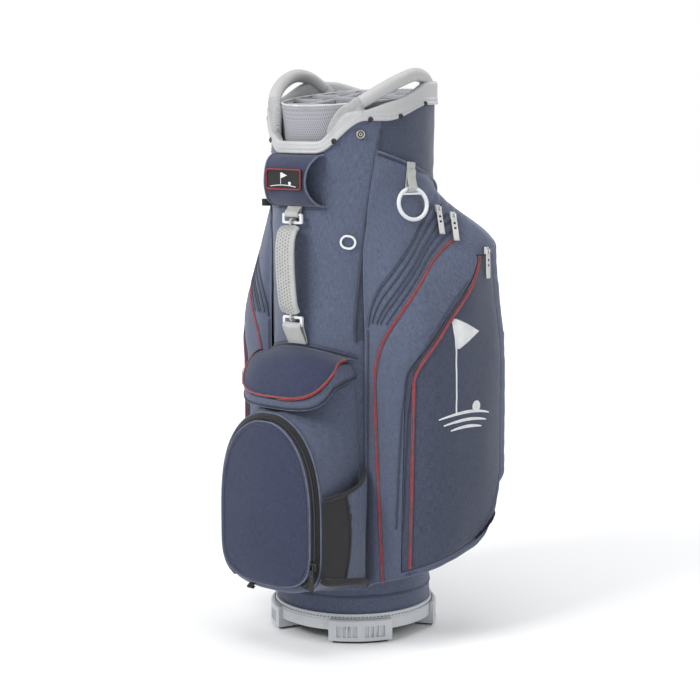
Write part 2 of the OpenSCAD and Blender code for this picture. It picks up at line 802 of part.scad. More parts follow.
module cart_loop() {
  color("black") translate([164, 136.5, 426]) linear_extrude(56)
    difference() {
      polygon([[-20, 0], [30, 0], [30, 12], [-20, 12]]);
      polygon([[-16, 2.2], [26, 2.2], [26, 9.8], [-16, 9.8]]);
    }
}

module right_cart_loop() { cart_loop(); }
module left_cart_loop() { mirror([1, 0, 0]) cart_loop(); }

module spine_panel() {
  steps = 14;
  function at(u, t, out) =
    let (angle = 180 + 34 * (2 * u - 1), z = lerp(70, 770, t), puff = 7 * pow(sin(180 * u), 0.4))
    tube_point(angle, z, out > 0 ? 2.5 + puff : gap);
  color(fabric) slab(
    [for (i = [0:10]) [for (j = [0:steps]) at(j / steps, i / 10, 1)]],
    [for (i = [0:10]) [for (j = [0:steps]) at(j / steps, i / 10, 0)]]
  );
}

// The towel ring hangs by its top arc from a band of webbing and lies on the sloping pocket
towel_s = 0.335;
towel_top_z = 757;
towel_bar_z = 717;
towel_heading = 66;
towel_tilt = -12;
ring_middle = 24.2;
ring_wire = 3.2;
ring_slot = 8.2;

module towel_webbing() {
  top = pocket_point(towel_s, towel_top_z, 3.4);
  tip = pocket_point(towel_s, towel_bar_z, 5.6);
  long = towel_top_z - towel_bar_z - ring_wire - 1;
  color(trim_grey) multmatrix(hang_frame(top, tip, pocket_side(towel_s, towel_top_z)))
    translate([0, 0, -long / 2]) rounded_plate(17, long, 1, 1.6);
}

// The ring's origin is the middle of its top arc, where it swings
module towel_ring() {
  bar_rise = ring_middle - ring_slot;
  half_bar = sqrt(ring_middle * ring_middle - bar_rise * bar_rise);
  color("white") translate(pocket_point(towel_s, towel_bar_z, 7.5))
    rotate([0, 0, towel_heading]) rotate([towel_tilt, 0, 0]) {
      translate([0, 0, -ring_middle]) rotate([90, 0, 0])
        rotate_extrude($fn = 64) translate([ring_middle, 0]) circle(ring_wire, $fn = 24);
      translate([0, 0, -ring_slot]) rotate([0, 90, 0])
        cylinder(r = 2, h = 2 * half_bar, center = true, $fn = 24);
    }
}

base_ring();
base_floor();
base_feet();
foot_pads();
tube_shell();
stay_rods();
divider_walls();
divider_frame();
divider_rim();
top_cuff();
right_handle_grip();
left_handle_grip();
cuff_screws();
badge_pouch();
badge_patch();
upper_handle_ring();
lower_handle_ring();
upper_handle_anchor();
lower_handle_strap();
front_handle();
snap_stud();
oval_eyelet();
side_loop();
valuables_pocket();
valuables_lid();
valuables_piping();
valuables_slider();
valuables_pull();
ball_pocket();
ball_zip_tape();
ball_panel();
ball_piping();
ball_slider();
ball_pull();
bottle_sleeve();
bottle_binding();
right_apparel_pocket();
left_apparel_pocket();
right_apparel_panel();
left_apparel_panel();
right_inner_piping();
left_inner_piping();
right_outer_piping();
left_outer_piping();
right_zip_sliders();
left_zip_sliders();
right_outer_slider();
left_outer_slider();
right_upper_pull();
right_middle_pull();
right_outer_pull();
left_upper_pull();
left_middle_pull();
left_outer_pull();
right_cart_loop();
left_cart_loop();
spine_panel();
towel_webbing();
towel_ring();
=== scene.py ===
import json
import math

import bpy
import numpy as np
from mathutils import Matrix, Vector
from mathutils.bvhtree import BVHTree

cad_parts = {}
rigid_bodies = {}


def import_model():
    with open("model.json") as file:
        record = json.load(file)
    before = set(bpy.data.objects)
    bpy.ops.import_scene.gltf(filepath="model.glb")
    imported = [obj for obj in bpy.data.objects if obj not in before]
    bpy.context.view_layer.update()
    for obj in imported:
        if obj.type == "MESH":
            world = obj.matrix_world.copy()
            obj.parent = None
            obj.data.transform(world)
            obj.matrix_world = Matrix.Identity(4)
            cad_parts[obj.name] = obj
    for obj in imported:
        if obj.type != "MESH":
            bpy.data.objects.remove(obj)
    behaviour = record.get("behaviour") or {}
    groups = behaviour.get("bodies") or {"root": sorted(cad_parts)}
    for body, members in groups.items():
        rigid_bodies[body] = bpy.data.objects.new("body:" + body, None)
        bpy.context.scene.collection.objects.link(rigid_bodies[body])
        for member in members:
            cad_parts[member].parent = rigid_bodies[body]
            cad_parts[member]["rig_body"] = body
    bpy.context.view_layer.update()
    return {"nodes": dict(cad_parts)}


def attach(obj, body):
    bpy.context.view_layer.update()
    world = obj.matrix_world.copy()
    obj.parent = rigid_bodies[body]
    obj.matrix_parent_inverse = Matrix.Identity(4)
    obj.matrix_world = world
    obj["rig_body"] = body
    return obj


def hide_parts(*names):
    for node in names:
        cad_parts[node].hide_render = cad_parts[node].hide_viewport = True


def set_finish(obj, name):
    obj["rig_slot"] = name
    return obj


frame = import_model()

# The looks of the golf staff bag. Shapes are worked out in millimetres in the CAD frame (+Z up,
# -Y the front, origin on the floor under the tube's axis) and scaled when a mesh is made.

MM = 0.001
SCENE = bpy.context.scene
MAP = "Weave"
FRONT = (0.0, -1.0, 0.0)
RIM_STEP, RIM_WIDTH = 0.002, 0.003
PAD_FRAMES = 20
PAD_CLOTH = {
    "vertex_group_mass": "held", "use_pressure": True, "uniform_pressure_force": 4.0, "tension_stiffness": 18,
    "compression_stiffness": 10.8, "shear_stiffness": 6, "bending_stiffness": 0.4, "quality": 5,
}

# ------------------------------------------------------------------ numbers and curves


def clamp01(t):
    return np.clip(t, 0, 1)


def lerp(a, b, t):
    return a + (b - a) * t


def smooth(t):
    t = clamp01(t)
    return t * t * (3 - 2 * t)


def sind(angle):
    return np.sin(np.radians(angle))


def cosd(angle):
    return np.cos(np.radians(angle))


def unit(v):
    return v / np.maximum(np.linalg.norm(v, axis=-1, keepdims=True), 1e-9)


def point(x, y, z):
    return np.stack(np.broadcast_arrays(x, y, z), -1).astype(float)


def spline(points, t):
    """A smooth curve through a list of points, for t from 0 to 1."""
    p = np.asarray(points, float)
    last = len(p) - 1
    u = clamp01(np.asarray(t, float)) * last
    i = np.minimum(last - 1, np.floor(u)).astype(int)
    f = (u - i)[..., None]
    p0, p1, p2, p3 = p[np.maximum(0, i - 1)], p[i], p[i + 1], p[np.minimum(last, i + 2)]
    square = (2 * p0 - 5 * p1 + 4 * p2 - p3) * f**2
    cube = (3 * p1 - p0 - 3 * p2 + p3) * f**3
    return 0.5 * (2 * p1 + (p2 - p0) * f + square + cube)


def resample(path, step):
    """The same path with points about step apart."""
    path = np.asarray(path, float)
    run = np.concatenate([[0], np.cumsum(np.linalg.norm(np.diff(path, axis=0), axis=1))])
    at = np.linspace(0, run[-1], max(3, int(run[-1] / step) + 1))
    return np.stack([np.interp(at, run, path[:, k]) for k in range(path.shape[1])], -1)


def ripples(points, scale, seed):
    """Smooth noise from -1 to 1 over points, with bumps about scale apart."""
    random = np.random.RandomState(seed)
    waves = 14
    way = unit(random.normal(size=(waves, 3))) * random.uniform(0.6, 1.6, (waves, 1)) * 2 * math.pi / scale
    phase = random.uniform(0, 2 * math.pi, waves)
    return np.sin(np.asarray(points) @ way.T + phase).mean(-1) * 2.2


def square_loop(n):
    """4n points once round the unit square, counter-clockwise from its low corner."""
    t = np.arange(n) / n
    zero, one = np.zeros(n), np.ones(n)
    return np.concatenate([t, one, 1 - t, zero]), np.concatenate([zero, t, one, 1 - t])


def loop(path):
    """The same path brought back to its first point."""
    return np.concatenate([path, path[:1]])


def full_turn(count):
    """Angles once round, in radians, from 0 to a whole turn."""
    return np.radians(np.linspace(0, 360, count))


def outward(points):
    return unit(points * [1, 1, 0])

# ------------------------------------------------------------------ the bag's surfaces, as in the CAD

BOTTOM_RADIUS = 125
TOP_HALF_WIDTH = 127
TOP_FRONT = 138
TOP_BACK = 131
WALL = 3
GAP = 0.5
TUBE_BASE = 36.4
NOTCH = 770
HANDLE_TOP = 901.2
GRIP_RADIUS = 10.2
SPINE_ANGLES = (146, 214)
SPINE_HEIGHTS = (70, 770)
BAR_FOOT = 830.4
SEAM_COLUMN = 34


def rise(z):
    return clamp01((z - 44) / (840 - 44))


def tube_half_width(z):
    return lerp(BOTTOM_RADIUS, TOP_HALF_WIDTH, rise(z))


def tube_point(angle, z, out=0):
    """A point on the tube: the angle runs from the front (-Y) towards +X."""
    half = tube_half_width(z) + out
    reach = lerp(BOTTOM_RADIUS, np.where(cosd(angle) > 0, TOP_FRONT, TOP_BACK), rise(z)) + out
    return point(half * sind(angle), -reach * cosd(angle), z)


def front_y(x, z, out=0):
    reach = lerp(BOTTOM_RADIUS, TOP_FRONT, rise(z)) + out
    return -reach * np.sqrt(np.maximum(0, 1 - (x / (tube_half_width(z) + out)) ** 2))


def from_front(angle):
    return 180 - np.abs(180 - np.mod(angle, 360))


def cuff_low(angle):
    a = from_front(angle)
    return NOTCH + 50 * smooth((a - 16) / 34) + 24 * smooth((a - 64) / 36)


def cuff_high(angle):
    a = from_front(angle)
    climb = 44 * smooth((a - 17) / 22) + 20 * smooth((a - 40) / 38) + 28 * smooth((a - 70) / 36)
    return NOTCH + 19 + climb - 14 * smooth((a - 122) / 30)


def tube_top(angle):
    return cuff_low(angle) + 6


POCKET_LINE = [
    (100, -88), (125, -88), (165, -74), (195, -49), (210, -10), (214, 32), (216, 72),
    (214, 108), (196, 134), (140, 134), (84, 102),
]
PANEL_BACK = 0.7
PANEL_LOW = 112
PANEL_HIGH = 612


def seam_angle(z):
    above = 42.5 + 18 * clamp01((z - 500) / 300) ** 1.3
    below = 42.5 + 10.5 * clamp01((500 - z) / 417) ** 1.1
    return np.where(z > 500, above, below)


def pocket_top(s):
    return 776 - 74 * np.maximum(s, 0) ** 1.15


def pocket_edge(s):
    return 95 + 120 * s + 78 * clamp01((s - 0.5) / 0.2) ** 2.4


def pocket_root(s):
    return 90 + 0.8 * (pocket_edge(s) - 95)


def pocket_depth(s, z):
    """How full the pocket is: 0 on the tube, 1 at its full reach."""
    back = smooth((s - 0.35) / 0.3)
    head = smooth((pocket_top(s) - z) / lerp(300, 104, back))
    low = pocket_root(s)
    foot = (1 - (1 - clamp01((z - low) / (pocket_edge(s) - low))) ** 2.5) ** 0.4
    return np.minimum(head, foot) * (1 - 0.14 * back * smooth((z - 430) / 190))


def pocket_point(s, z, out=0):
    s, z = np.broadcast_arrays(np.asarray(s, float), np.asarray(z, float))
    angle = seam_angle(z) + (142 - seam_angle(z)) * np.maximum(s, 0) ** 1.1
    near = tube_point(angle, z, GAP)[..., :2]
    step = spline(POCKET_LINE, s) - near
    reach = np.linalg.norm(step, axis=-1)
    far = step / np.maximum(reach, 1e-6)[..., None]
    away = np.where(reach[..., None] > 1, far, np.stack([sind(angle), -cosd(angle)], -1))
    d = np.maximum(WALL, reach * pocket_depth(s, z)) + out
    return np.concatenate([near + away * d[..., None], z[..., None]], -1)


def inner_piping_s(z):
    above = 0.073 + 0.464 * (np.maximum(z - 415, 0) / 225) ** 2
    return np.where(z > 415, above, 0.073 + 0.045 * (415 - z) / 306)


def outer_piping_s(z):
    t = clamp01((z - 415) / 188)
    eased = (np.sqrt(t * t + 0.03) - 0.173) / 0.842
    return 0.232 - 0.012 * clamp01((425 - z) / 300) + 0.185 * (sind(90 * t) ** 1.7 + eased)


def zip_seam_s(z):
    """The innermost seam, where the flap of the upper zips starts."""
    return 0.029 + 0.357 * (np.maximum(z - 501, 0) / 155) ** 1.6


def panel_map(u, t, margin):
    z0 = lerp(PANEL_LOW, PANEL_HIGH, t)
    s = lerp(outer_piping_s(z0) - 0.03 + margin / 300, PANEL_BACK - margin / 300, u)
    return s, lerp(pocket_edge(s) + 6 + margin, PANEL_HIGH - margin, t)


def pocket_map(u, t):
    return u + 0 * t, lerp(pocket_root(u), pocket_top(u), t)


DOOR_SEAM = 0.065

BALL_HALF_WIDTH = 91
BALL_BOTTOM = 107
BALL_TOP = 362
BALL_MIDDLE = 200


def ball_width(z, grow):
    up = clamp01((z - BALL_MIDDLE) / (BALL_TOP + grow - BALL_MIDDLE))
    down = clamp01((BALL_MIDDLE - z) / (BALL_MIDDLE - BALL_BOTTOM + grow))
    round_top = np.sqrt(1 - up**2.8)
    round_foot = (1 - down**5) ** 0.4
    return (BALL_HALF_WIDTH + grow) * np.where(z > BALL_MIDDLE, round_top, round_foot)


def ball_edge(u, v, grow, y):
    z = lerp(BALL_BOTTOM - grow + 0.4, BALL_TOP + grow - 1.2, (1 - cosd(180 * v)) / 2)
    return point((2 * u - 1) * ball_width(z, grow), y, z)


def ball_root(u, v, inset):
    w = 2 * u - 1
    z = lerp(86 + inset, 377 + 50 * w * w - inset, v)
    x = w * (tube_half_width(z) * sind(seam_angle(z)) - 3.5 - inset)
    return point(x, front_y(x, z, GAP + 0.3), z)


def lid_edge(u):
    angle = 90 * u
    c = np.maximum(0, cosd(angle))
    x = 89 * np.sign(angle) * np.abs(sind(angle)) ** 0.8
    return point(x, -140 - 58 * c**0.75, 400 + 50 * (1 - c) ** 1.5)


def lid_root(u, out):
    x = 90 * u
    z = 470 - 18 * u * u
    return point(x, front_y(x, z, out), z)


def lid_point(u, t, lift=0):
    p = lerp(lid_root(u, 3.5), lid_edge(u), np.asarray(t)[..., None])
    crown = sind(180 * t)
    return p + point(0 * crown, -8 * crown, 15 * crown * (1 - 0.6 * u * u) + lift)


SLEEVE_LINE = [(106.5, -201), (112, -188), (117, -150), (115, -118), (106, -97)]


def sleeve_low(t):
    return lerp(124, 98, t)


def sleeve_top(t):
    return 251 + 30 * t**2.4


def sleeve_point(t, k, out=0):
    p = spline(SLEEVE_LINE, t)
    slim = 1 - 0.35 * (1 - k) ** 3
    return point(lerp(106, p[..., 0], slim) + out, p[..., 1], lerp(sleeve_low(t), sleeve_top(t), k))


HANDLE_LINE = [(31, 62), (45, 46), (60, 27), (76, 10), (90, 1), (103, 5), (114, 20), (121, 32)]


def handle_point(t):
    h = spline(HANDLE_LINE, t)
    p = tube_point(h[..., 0], 800, -7 + 1.5 * sind(180 * t))
    return point(p[..., 0], p[..., 1], HANDLE_TOP - GRIP_RADIUS - h[..., 1])

# ------------------------------------------------------------------ mesh building


def normals_of(grid, closed=False):
    """Unit normals of a grid of points, which point out where columns run counter-clockwise."""
    across = np.roll(grid, -1, 1) - np.roll(grid, 1, 1) if closed else np.gradient(grid, axis=1)
    return unit(np.cross(across, np.gradient(grid, axis=0)))


def run_lengths(grid, axis):
    steps = np.linalg.norm(np.diff(grid, axis=axis), axis=-1).mean(1 - axis)
    return np.concatenate([[0], np.cumsum(steps)])


class Build:
    """Collects the faces of one piece, each corner with a place on the cloth in metres."""

    def __init__(self):
        self.verts, self.faces, self.uvs, self.slots, self.count = [], [], [], [], 0

    def add(self, verts, faces, uvs, slot=0):
        self.verts.append(np.asarray(verts, float).reshape(-1, 3))
        self.faces += [tuple(int(i) + self.count for i in f) for f in faces]
        self.uvs += [tuple(uv) for face in uvs for uv in face]
        self.slots += [slot] * len(faces)
        self.count += len(self.verts[-1])

    def cap(self, ring, slot=0):
        self.faces.append(tuple(ring))
        self.uvs += [(0.0, 0.0)] * len(ring)
        self.slots.append(slot)

    def paint(self, mask, slot):
        """Gives a slot to the faces of the first grid, by a mask of its cells."""
        for face in np.nonzero(mask.ravel())[0]:
            self.slots[face] = slot

    def grid(self, points, closed=False, flip=False, slot=0):
        """One side of a grid. Its cloth runs across the columns and up the rows."""
        rows, cols = points.shape[:2]
        i = np.arange(rows - 1)[:, None]
        j = np.arange(cols if closed else cols - 1)[None, :]
        k = (j + 1) % cols
        quads = np.stack([i * cols + j, i * cols + k, (i + 1) * cols + k, (i + 1) * cols + j], -1)
        ring = np.concatenate([points, points[:, :1]], 1) if closed else points
        u, v = run_lengths(ring, 1) * MM, run_lengths(points, 0) * MM
        corners = (j, i), (j + 1, i), (j + 1, i + 1), (j, i + 1)
        corner = np.stack([np.stack(np.broadcast_arrays(u[a], v[b]), -1) for a, b in corners], -2)
        quads, corner = quads.reshape(-1, 4), corner.reshape(-1, 4, 2)
        if flip:
            quads, corner = quads[:, ::-1], corner[:, ::-1]
        self.add(points, quads, corner, slot)

    def tube(self, rings, slot=0, caps=True):
        """A grid of rings, with or without its two ends."""
        (rows, sides), first = rings.shape[:2], self.count
        last = first + (rows - 1) * sides
        self.grid(rings, closed=True, flip=True, slot=slot)
        if caps:
            self.cap(range(first, first + sides), slot)
            self.cap(range(last + sides - 1, last - 1, -1), slot)

    def sweep(self, path, up, profile, slot=0, caps=True):
        """A closed profile carried along a path, with its second axis towards up."""
        path, up = np.asarray(path, float), np.asarray(up, float)
        along = unit(np.gradient(path, axis=0))
        side = unit(np.cross(along, np.broadcast_to(up, path.shape)))
        top = np.cross(side, along)
        profile = np.broadcast_to(np.asarray(profile, float), (len(path),) + np.shape(profile)[-2:])
        rings = path[:, None] + side[:, None] * profile[..., :1] + top[:, None] * profile[..., 1:]
        self.tube(rings, slot, caps)

    def shell(self, outer, inner, closed=False, inner_slot=0):
        """A closed skin between two grids of the same size."""
        rows, cols = outer.shape[:2]
        n, low = rows * cols, self.count
        high = low + n - cols
        self.grid(outer, closed)
        self.grid(inner, closed, flip=True, slot=inner_slot)
        j = np.arange(cols if closed else cols - 1)
        k = (j + 1) % cols
        edges = [
            np.stack([low + j, low + j + n, low + k + n, low + k], -1),
            np.stack([high + j, high + k, high + k + n, high + j + n], -1),
        ]
        if not closed:
            left = low + np.arange(rows - 1) * cols
            right = left + cols - 1
            edges.append(np.stack([left, left + cols, left + cols + n, left + n], -1))
            edges.append(np.stack([right, right + n, right + cols + n, right + cols], -1))
        for quads in edges:
            for f, quad in enumerate(quads.tolist()):
                a, b = f * RIM_STEP, f * RIM_STEP + RIM_STEP
                self.faces.append(tuple(quad))
                self.uvs += [(a, 0.0), (a, RIM_WIDTH), (b, RIM_WIDTH), (b, 0.0)]
                self.slots.append(0)

    def stitches(self, path, up, pitch=3.4, long=2.4, radius=0.42, slot=0, lift=0.1):
        """A row of short threads along a path that lies on the cloth."""
        middle, top = even(np.asarray(path, float), np.asarray(up, float), pitch)
        along = unit(np.gradient(middle, axis=0))
        side = unit(np.cross(along, top))
        steps = np.array([-0.5, -0.3, 0, 0.3, 0.5]) * long
        heights = np.array([-0.5, 0.5, 0.8, 0.5, -0.5]) * radius + lift
        turn = 2 * math.pi * np.arange(5) / 5
        for m, t, a, b in zip(middle, top, along, side):
            core = m + a * steps[:, None] + t * heights[:, None]
            around = b * np.cos(turn)[:, None] + t * np.sin(turn)[:, None]
            self.tube(core[:, None] + radius * around[None], slot)

    def object(self, name):
        """The faces gathered so far as a bare object in the scene."""
        mesh = bpy.data.meshes.new(name)
        mesh.from_pydata((np.concatenate(self.verts) * MM).tolist(), [], self.faces)
        obj = bpy.data.objects.new(name, mesh)
        SCENE.collection.objects.link(obj)
        return obj

    def piece(self, name, materials, body="bag", slot=None, replaces=()):
        obj = self.object(name)
        mesh = obj.data
        layer = mesh.uv_layers.new(name=MAP)
        layer.data.foreach_set("uv", np.asarray(self.uvs, np.float32).ravel())
        for material in materials:
            mesh.materials.append(material)
        mesh.polygons.foreach_set("material_index", self.slots)
        mesh.shade_smooth()
        mesh.update()
        settle(obj, body, slot, replaces)
        return obj


def settle(obj, body, slot=None, replaces=()):
    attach(obj, body)
    if slot:
        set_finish(obj, slot)
    if replaces:
        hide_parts(*replaces)


def mirrored(obj, name, body=None, replaces=()):
    """A copy of a right-hand piece for the left side."""
    copy = obj.copy()
    copy.data = obj.data.copy()
    copy.name = name
    copy.data.name = name
    for key in list(copy.keys()):
        if key.startswith("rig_"):
            del copy[key]
    SCENE.collection.objects.link(copy)
    mesh = copy.data
    co = np.empty(len(mesh.vertices) * 3, np.float32)
    mesh.vertices.foreach_get("co", co)
    co[0::3] *= -1
    mesh.vertices.foreach_set("co", co)
    mesh.flip_normals()
    mesh.update()
    copy.parent = None
    settle(copy, body or obj["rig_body"], obj.get("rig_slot"), replaces)
    return copy


def circle(radius, sides=12, squash=1.0):
    turn = 2 * math.pi * np.arange(sides) / sides
    return np.stack([radius * np.cos(turn), radius * squash * np.sin(turn)], -1)


def band_profile(width, height, sink=0.6):
    """A strip of cloth: flat top, rounded edges, its foot sunk below the surface."""
    half, r = width / 2, min(width / 2, height + sink) / 2
    return np.array([
        (-half, -sink), (half, -sink), (half, height - r * 0.7), (half - r * 0.3, height - r * 0.2),
        (half - r, height), (0, height * 1.03), (-half + r, height), (-half + r * 0.3, height - r * 0.2),
        (-half, height - r * 0.7),
    ])


def inflate(obj, cap, rows, cols, sewn=()):
    """Puffs a shell by cloth simulation, by cap at most, and bakes it in. Its edges, its inner side
    and the sewn vertices are held."""
    mesh = obj.data
    rest = np.empty(len(mesh.vertices) * 3)
    mesh.vertices.foreach_get("co", rest)
    index = np.arange(rows * cols).reshape(rows, cols)
    held = [index[0], index[-1], index[:, 0], index[:, -1], index.ravel() + rows * cols, np.array(sewn, int)]
    group = obj.vertex_groups.new(name="held")
    group.add(np.unique(np.concatenate(held)).tolist(), 1.0, "REPLACE")
    modifier = obj.modifiers.new("Pad", "CLOTH")
    for key, value in PAD_CLOTH.items():
        setattr(modifier.settings, key, value)
    modifier.settings.effector_weights.gravity = 0
    modifier.point_cache.frame_start = 1
    modifier.point_cache.frame_end = PAD_FRAMES
    for step in range(1, PAD_FRAMES + 1):
        SCENE.frame_set(step)
    graph = bpy.context.evaluated_depsgraph_get()
    after = np.empty(len(mesh.vertices) * 3)
    obj.evaluated_get(graph).data.vertices.foreach_get("co", after)
    obj.modifiers.remove(modifier)
    obj.vertex_groups.remove(group)
    move = (after - rest).reshape(-1, 3)
    far = np.linalg.norm(move, axis=1, keepdims=True)
    move *= np.minimum(1, cap * MM / np.maximum(far, 1e-9))
    mesh.vertices.foreach_set("co", (rest.reshape(-1, 3) + move).ravel())
    mesh.update()
    SCENE.frame_set(1)

# ------------------------------------------------------------------ materials


class Nodes:
    """A short way to write a procedural material."""

    def __init__(self, name, color, roughness, **sockets):
        self.material = bpy.data.materials.new(name)
        self.material.use_nodes = True
        self.tree = self.material.node_tree
        self.shader = self.tree.nodes["Principled BSDF"]
        self.material.diffuse_color = (*color, 1)
        self.put(self.shader, "Base Color", (*color, 1))
        self.put(self.shader, "Roughness", roughness)
        for key, value in sockets.items():
            self.put(self.shader, key.replace("_", " "), value)

    def put(self, node, key, value):
        if isinstance(value, bpy.types.NodeSocket):
            self.tree.links.new(value, node.inputs[key])
        else:
            node.inputs[key].default_value = value

    def node(self, kind, *inputs, **settings):
        node = self.tree.nodes.new("ShaderNode" + kind)
        for key, value in settings.items():
            setattr(node, key, value)
        for key, value in enumerate(inputs):
            if value is not None:
                self.put(node, key, value)
        return node

    def math(self, operation, a, b=None, c=None):
        return self.node("Math", a, b, c, operation=operation).outputs[0]

    def cloth(self):
        """The two directions of the cloth, in metres."""
        split = self.node("SeparateXYZ", self.node("UVMap", uv_map=MAP).outputs[0])
        return split.outputs[0], split.outputs[1]

    def place(self):
        return self.node("TexCoord").outputs["Object"]

    def noise(self, vector, scale, detail=2.0, roughness=0.5):
        node = self.node("TexNoise", vector)
        self.put(node, "Scale", scale)
        self.put(node, "Detail", detail)
        self.put(node, "Roughness", roughness)
        return node.outputs[0]

    def mul(self, a, b):
        return self.math("MULTIPLY", a, b)

    def add(self, a, b):
        return self.math("ADD", a, b)

    def mad(self, a, b, c):
        return self.math("MULTIPLY_ADD", a, b, c)

    def wave(self, value, pitch):
        return self.math("SINE", self.mul(value, 2 * math.pi / pitch))

    def stretched(self, u, v, across, along):
        """A place on the cloth stretched so that noise makes streaks."""
        x, y = self.math("DIVIDE", u, across), self.math("DIVIDE", v, along)
        return self.node("CombineXYZ", x, y).outputs[0]

    def ramp(self, value, low, high, at=(0.0, 1.0)):
        node = self.node("ValToRGB", value)
        node.color_ramp.elements[0].position, node.color_ramp.elements[1].position = at
        node.color_ramp.elements[0].color = (*low, 1)
        node.color_ramp.elements[1].color = (*high, 1)
        return node.outputs[0]

    def blend(self, share, a, b):
        node = self.tree.nodes.new("ShaderNodeMix")
        node.data_type = "RGBA"
        self.put(node, 0, share)
        self.put(node, 6, a if isinstance(a, bpy.types.NodeSocket) else (*a, 1))
        self.put(node, 7, b if isinstance(b, bpy.types.NodeSocket) else (*b, 1))
        return node.outputs[2]

    def bump(self, height, distance, strength=1.0, under=None):
        node = self.node("Bump")
        self.put(node, "Height", height)
        self.put(node, "Distance", distance)
        self.put(node, "Strength", strength)
        if under is not None:
            self.put(node, "Normal", under)
        return node.outputs[0]

    def finish(self, color, roughness, normal=None):
        self.put(self.shader, "Base Color", color)
        self.put(self.shader, "Roughness", roughness)
        if normal is not None:
            self.put(self.shader, "Normal", normal)
        return self.material


def shade(color, factor):
    return tuple(min(1.0, c * factor) for c in color)


def woven(name, color, pitch=1.5, sheen=0.25):
    """Plain-woven polyester: crossing threads, slubby streaks both ways and a soft mottling."""
    m = Nodes(name, color, 0.78, Sheen_Weight=sheen, Sheen_Roughness=0.45, Specular_IOR_Level=0.3)
    u, v = m.cloth()
    weave = m.mul(m.wave(u, pitch * MM), m.wave(v, pitch * 0.8 * MM))
    up = m.noise(m.stretched(u, v, 0.0011, 0.012), 1.0, 2.0)
    over = m.noise(m.stretched(u, v, 0.010, 0.0009), 1.0, 2.0)
    slub = m.mad(m.add(up, over), 0.8, -0.3)
    tone = m.mad(weave, 0.2, slub)
    mottled = m.noise(m.place(), 9.0, 3.0)
    base = m.ramp(tone, shade(color, 0.58), shade(color, 1.5), (0.22, 0.78))
    base = m.blend(m.mul(mottled, 0.35), base, shade(color, 0.86))
    rub = m.mul(m.math("GREATER_THAN", m.noise(m.place(), 160.0, 3.0), 0.68), 0.25)
    base = m.blend(rub, base, shade(color, 1.5))
    fine = m.bump(weave, 0.00012, 0.6)
    soft = m.bump(m.noise(m.place(), 34.0, 2.0), 0.0012, 0.35, fine)
    rougher = m.mad(mottled, 0.14, 0.71)
    return m.finish(base, rougher, soft)


def netting(name, color, hole, pitch):
    """Knitted mesh: diamond holes between threads."""
    m = Nodes(name, color, 0.85, Sheen_Weight=0.15, Sheen_Roughness=0.5, Specular_IOR_Level=0.25)
    u, v = m.cloth()
    plus, minus = m.add(u, v), m.math("SUBTRACT", u, v)
    knit = m.math("MAXIMUM", m.wave(plus, pitch * MM), m.wave(minus, pitch * MM))
    thread = m.noise(m.place(), 420.0, 2.0)
    tone = m.mad(knit, 0.45, m.mad(thread, 0.25, 0.35))
    base = m.ramp(tone, hole, color, (0.2, 0.75))
    soil = m.mul(m.noise(m.place(), 14.0, 3.0), 0.25)
    base = m.blend(soil, base, shade(color, 0.75))
    return m.finish(base, 0.85, m.bump(tone, 0.0004, 0.8))


def webbing(name, color, pitch=2.0):
    """Woven strap: ribs along its length, crossed by fine picks."""
    m = Nodes(name, color, 0.8, Sheen_Weight=0.2, Sheen_Roughness=0.5, Specular_IOR_Level=0.3)
    u, v = m.cloth()
    ribs = m.wave(u, pitch * MM)
    picks = m.wave(v, pitch * 0.45 * MM)
    height = m.mad(picks, 0.4, ribs)
    tone = m.mad(height, 0.22, m.mul(m.noise(m.place(), 60.0, 3.0), 0.9))
    base = m.ramp(tone, shade(color, 0.8), shade(color, 1.12), (0.15, 0.8))
    return m.finish(base, 0.8, m.bump(height, 0.00018, 0.7))


def cord_cover(name, color):
    """Cloth-covered piping: slanting threads round the cord."""
    m = Nodes(name, color, 0.7, Sheen_Weight=0.3, Sheen_Roughness=0.4, Specular_IOR_Level=0.3)
    u, v = m.cloth()
    slant = m.wave(m.add(m.mul(u, 0.6), v), 1.6 * MM)
    tone = m.mad(slant, 0.2, m.noise(m.place(), 90.0, 2.0))
    base = m.ramp(tone, shade(color, 0.72), shade(color, 1.3), (0.2, 0.8))
    return m.finish(base, 0.7, m.bump(slant, 0.0001, 0.7))


def moulded(name, color, rough=0.5, grain=260.0, depth=0.00012, spec=0.4, coat=0.0, wear=1.12):
    """Moulded plastic: fine spark texture, faint flow shading and paler rubbed spots."""
    m = Nodes(name, color, rough, Specular_IOR_Level=spec, Coat_Weight=coat, Coat_Roughness=0.3)
    fine = m.noise(m.place(), grain, 3.0, 0.6)
    broad = m.noise(m.place(), 11.0, 3.0)
    tone = m.mad(fine, 0.35, m.mul(broad, 0.65))
    base = m.ramp(tone, shade(color, 0.9), shade(color, 1.05), (0.25, 0.75))
    rub = m.mul(m.math("GREATER_THAN", m.noise(m.place(), 70.0, 4.0), 0.66), 0.4)
    base = m.blend(rub, base, shade(color, wear))
    rougher = m.mad(broad, 0.2, rough - 0.1)
    return m.finish(base, rougher, m.bump(fine, depth, 0.7))


def brushed(name, color):
    m = Nodes(name, color, 0.3, Metallic=1.0)
    streaks = m.noise(m.place(), 900.0, 2.0)
    base = m.ramp(streaks, shade(color, 0.75), shade(color, 1.1), (0.3, 0.7))
    return m.finish(base, m.mad(streaks, 0.25, 0.2), m.bump(streaks, 0.00002, 0.4))


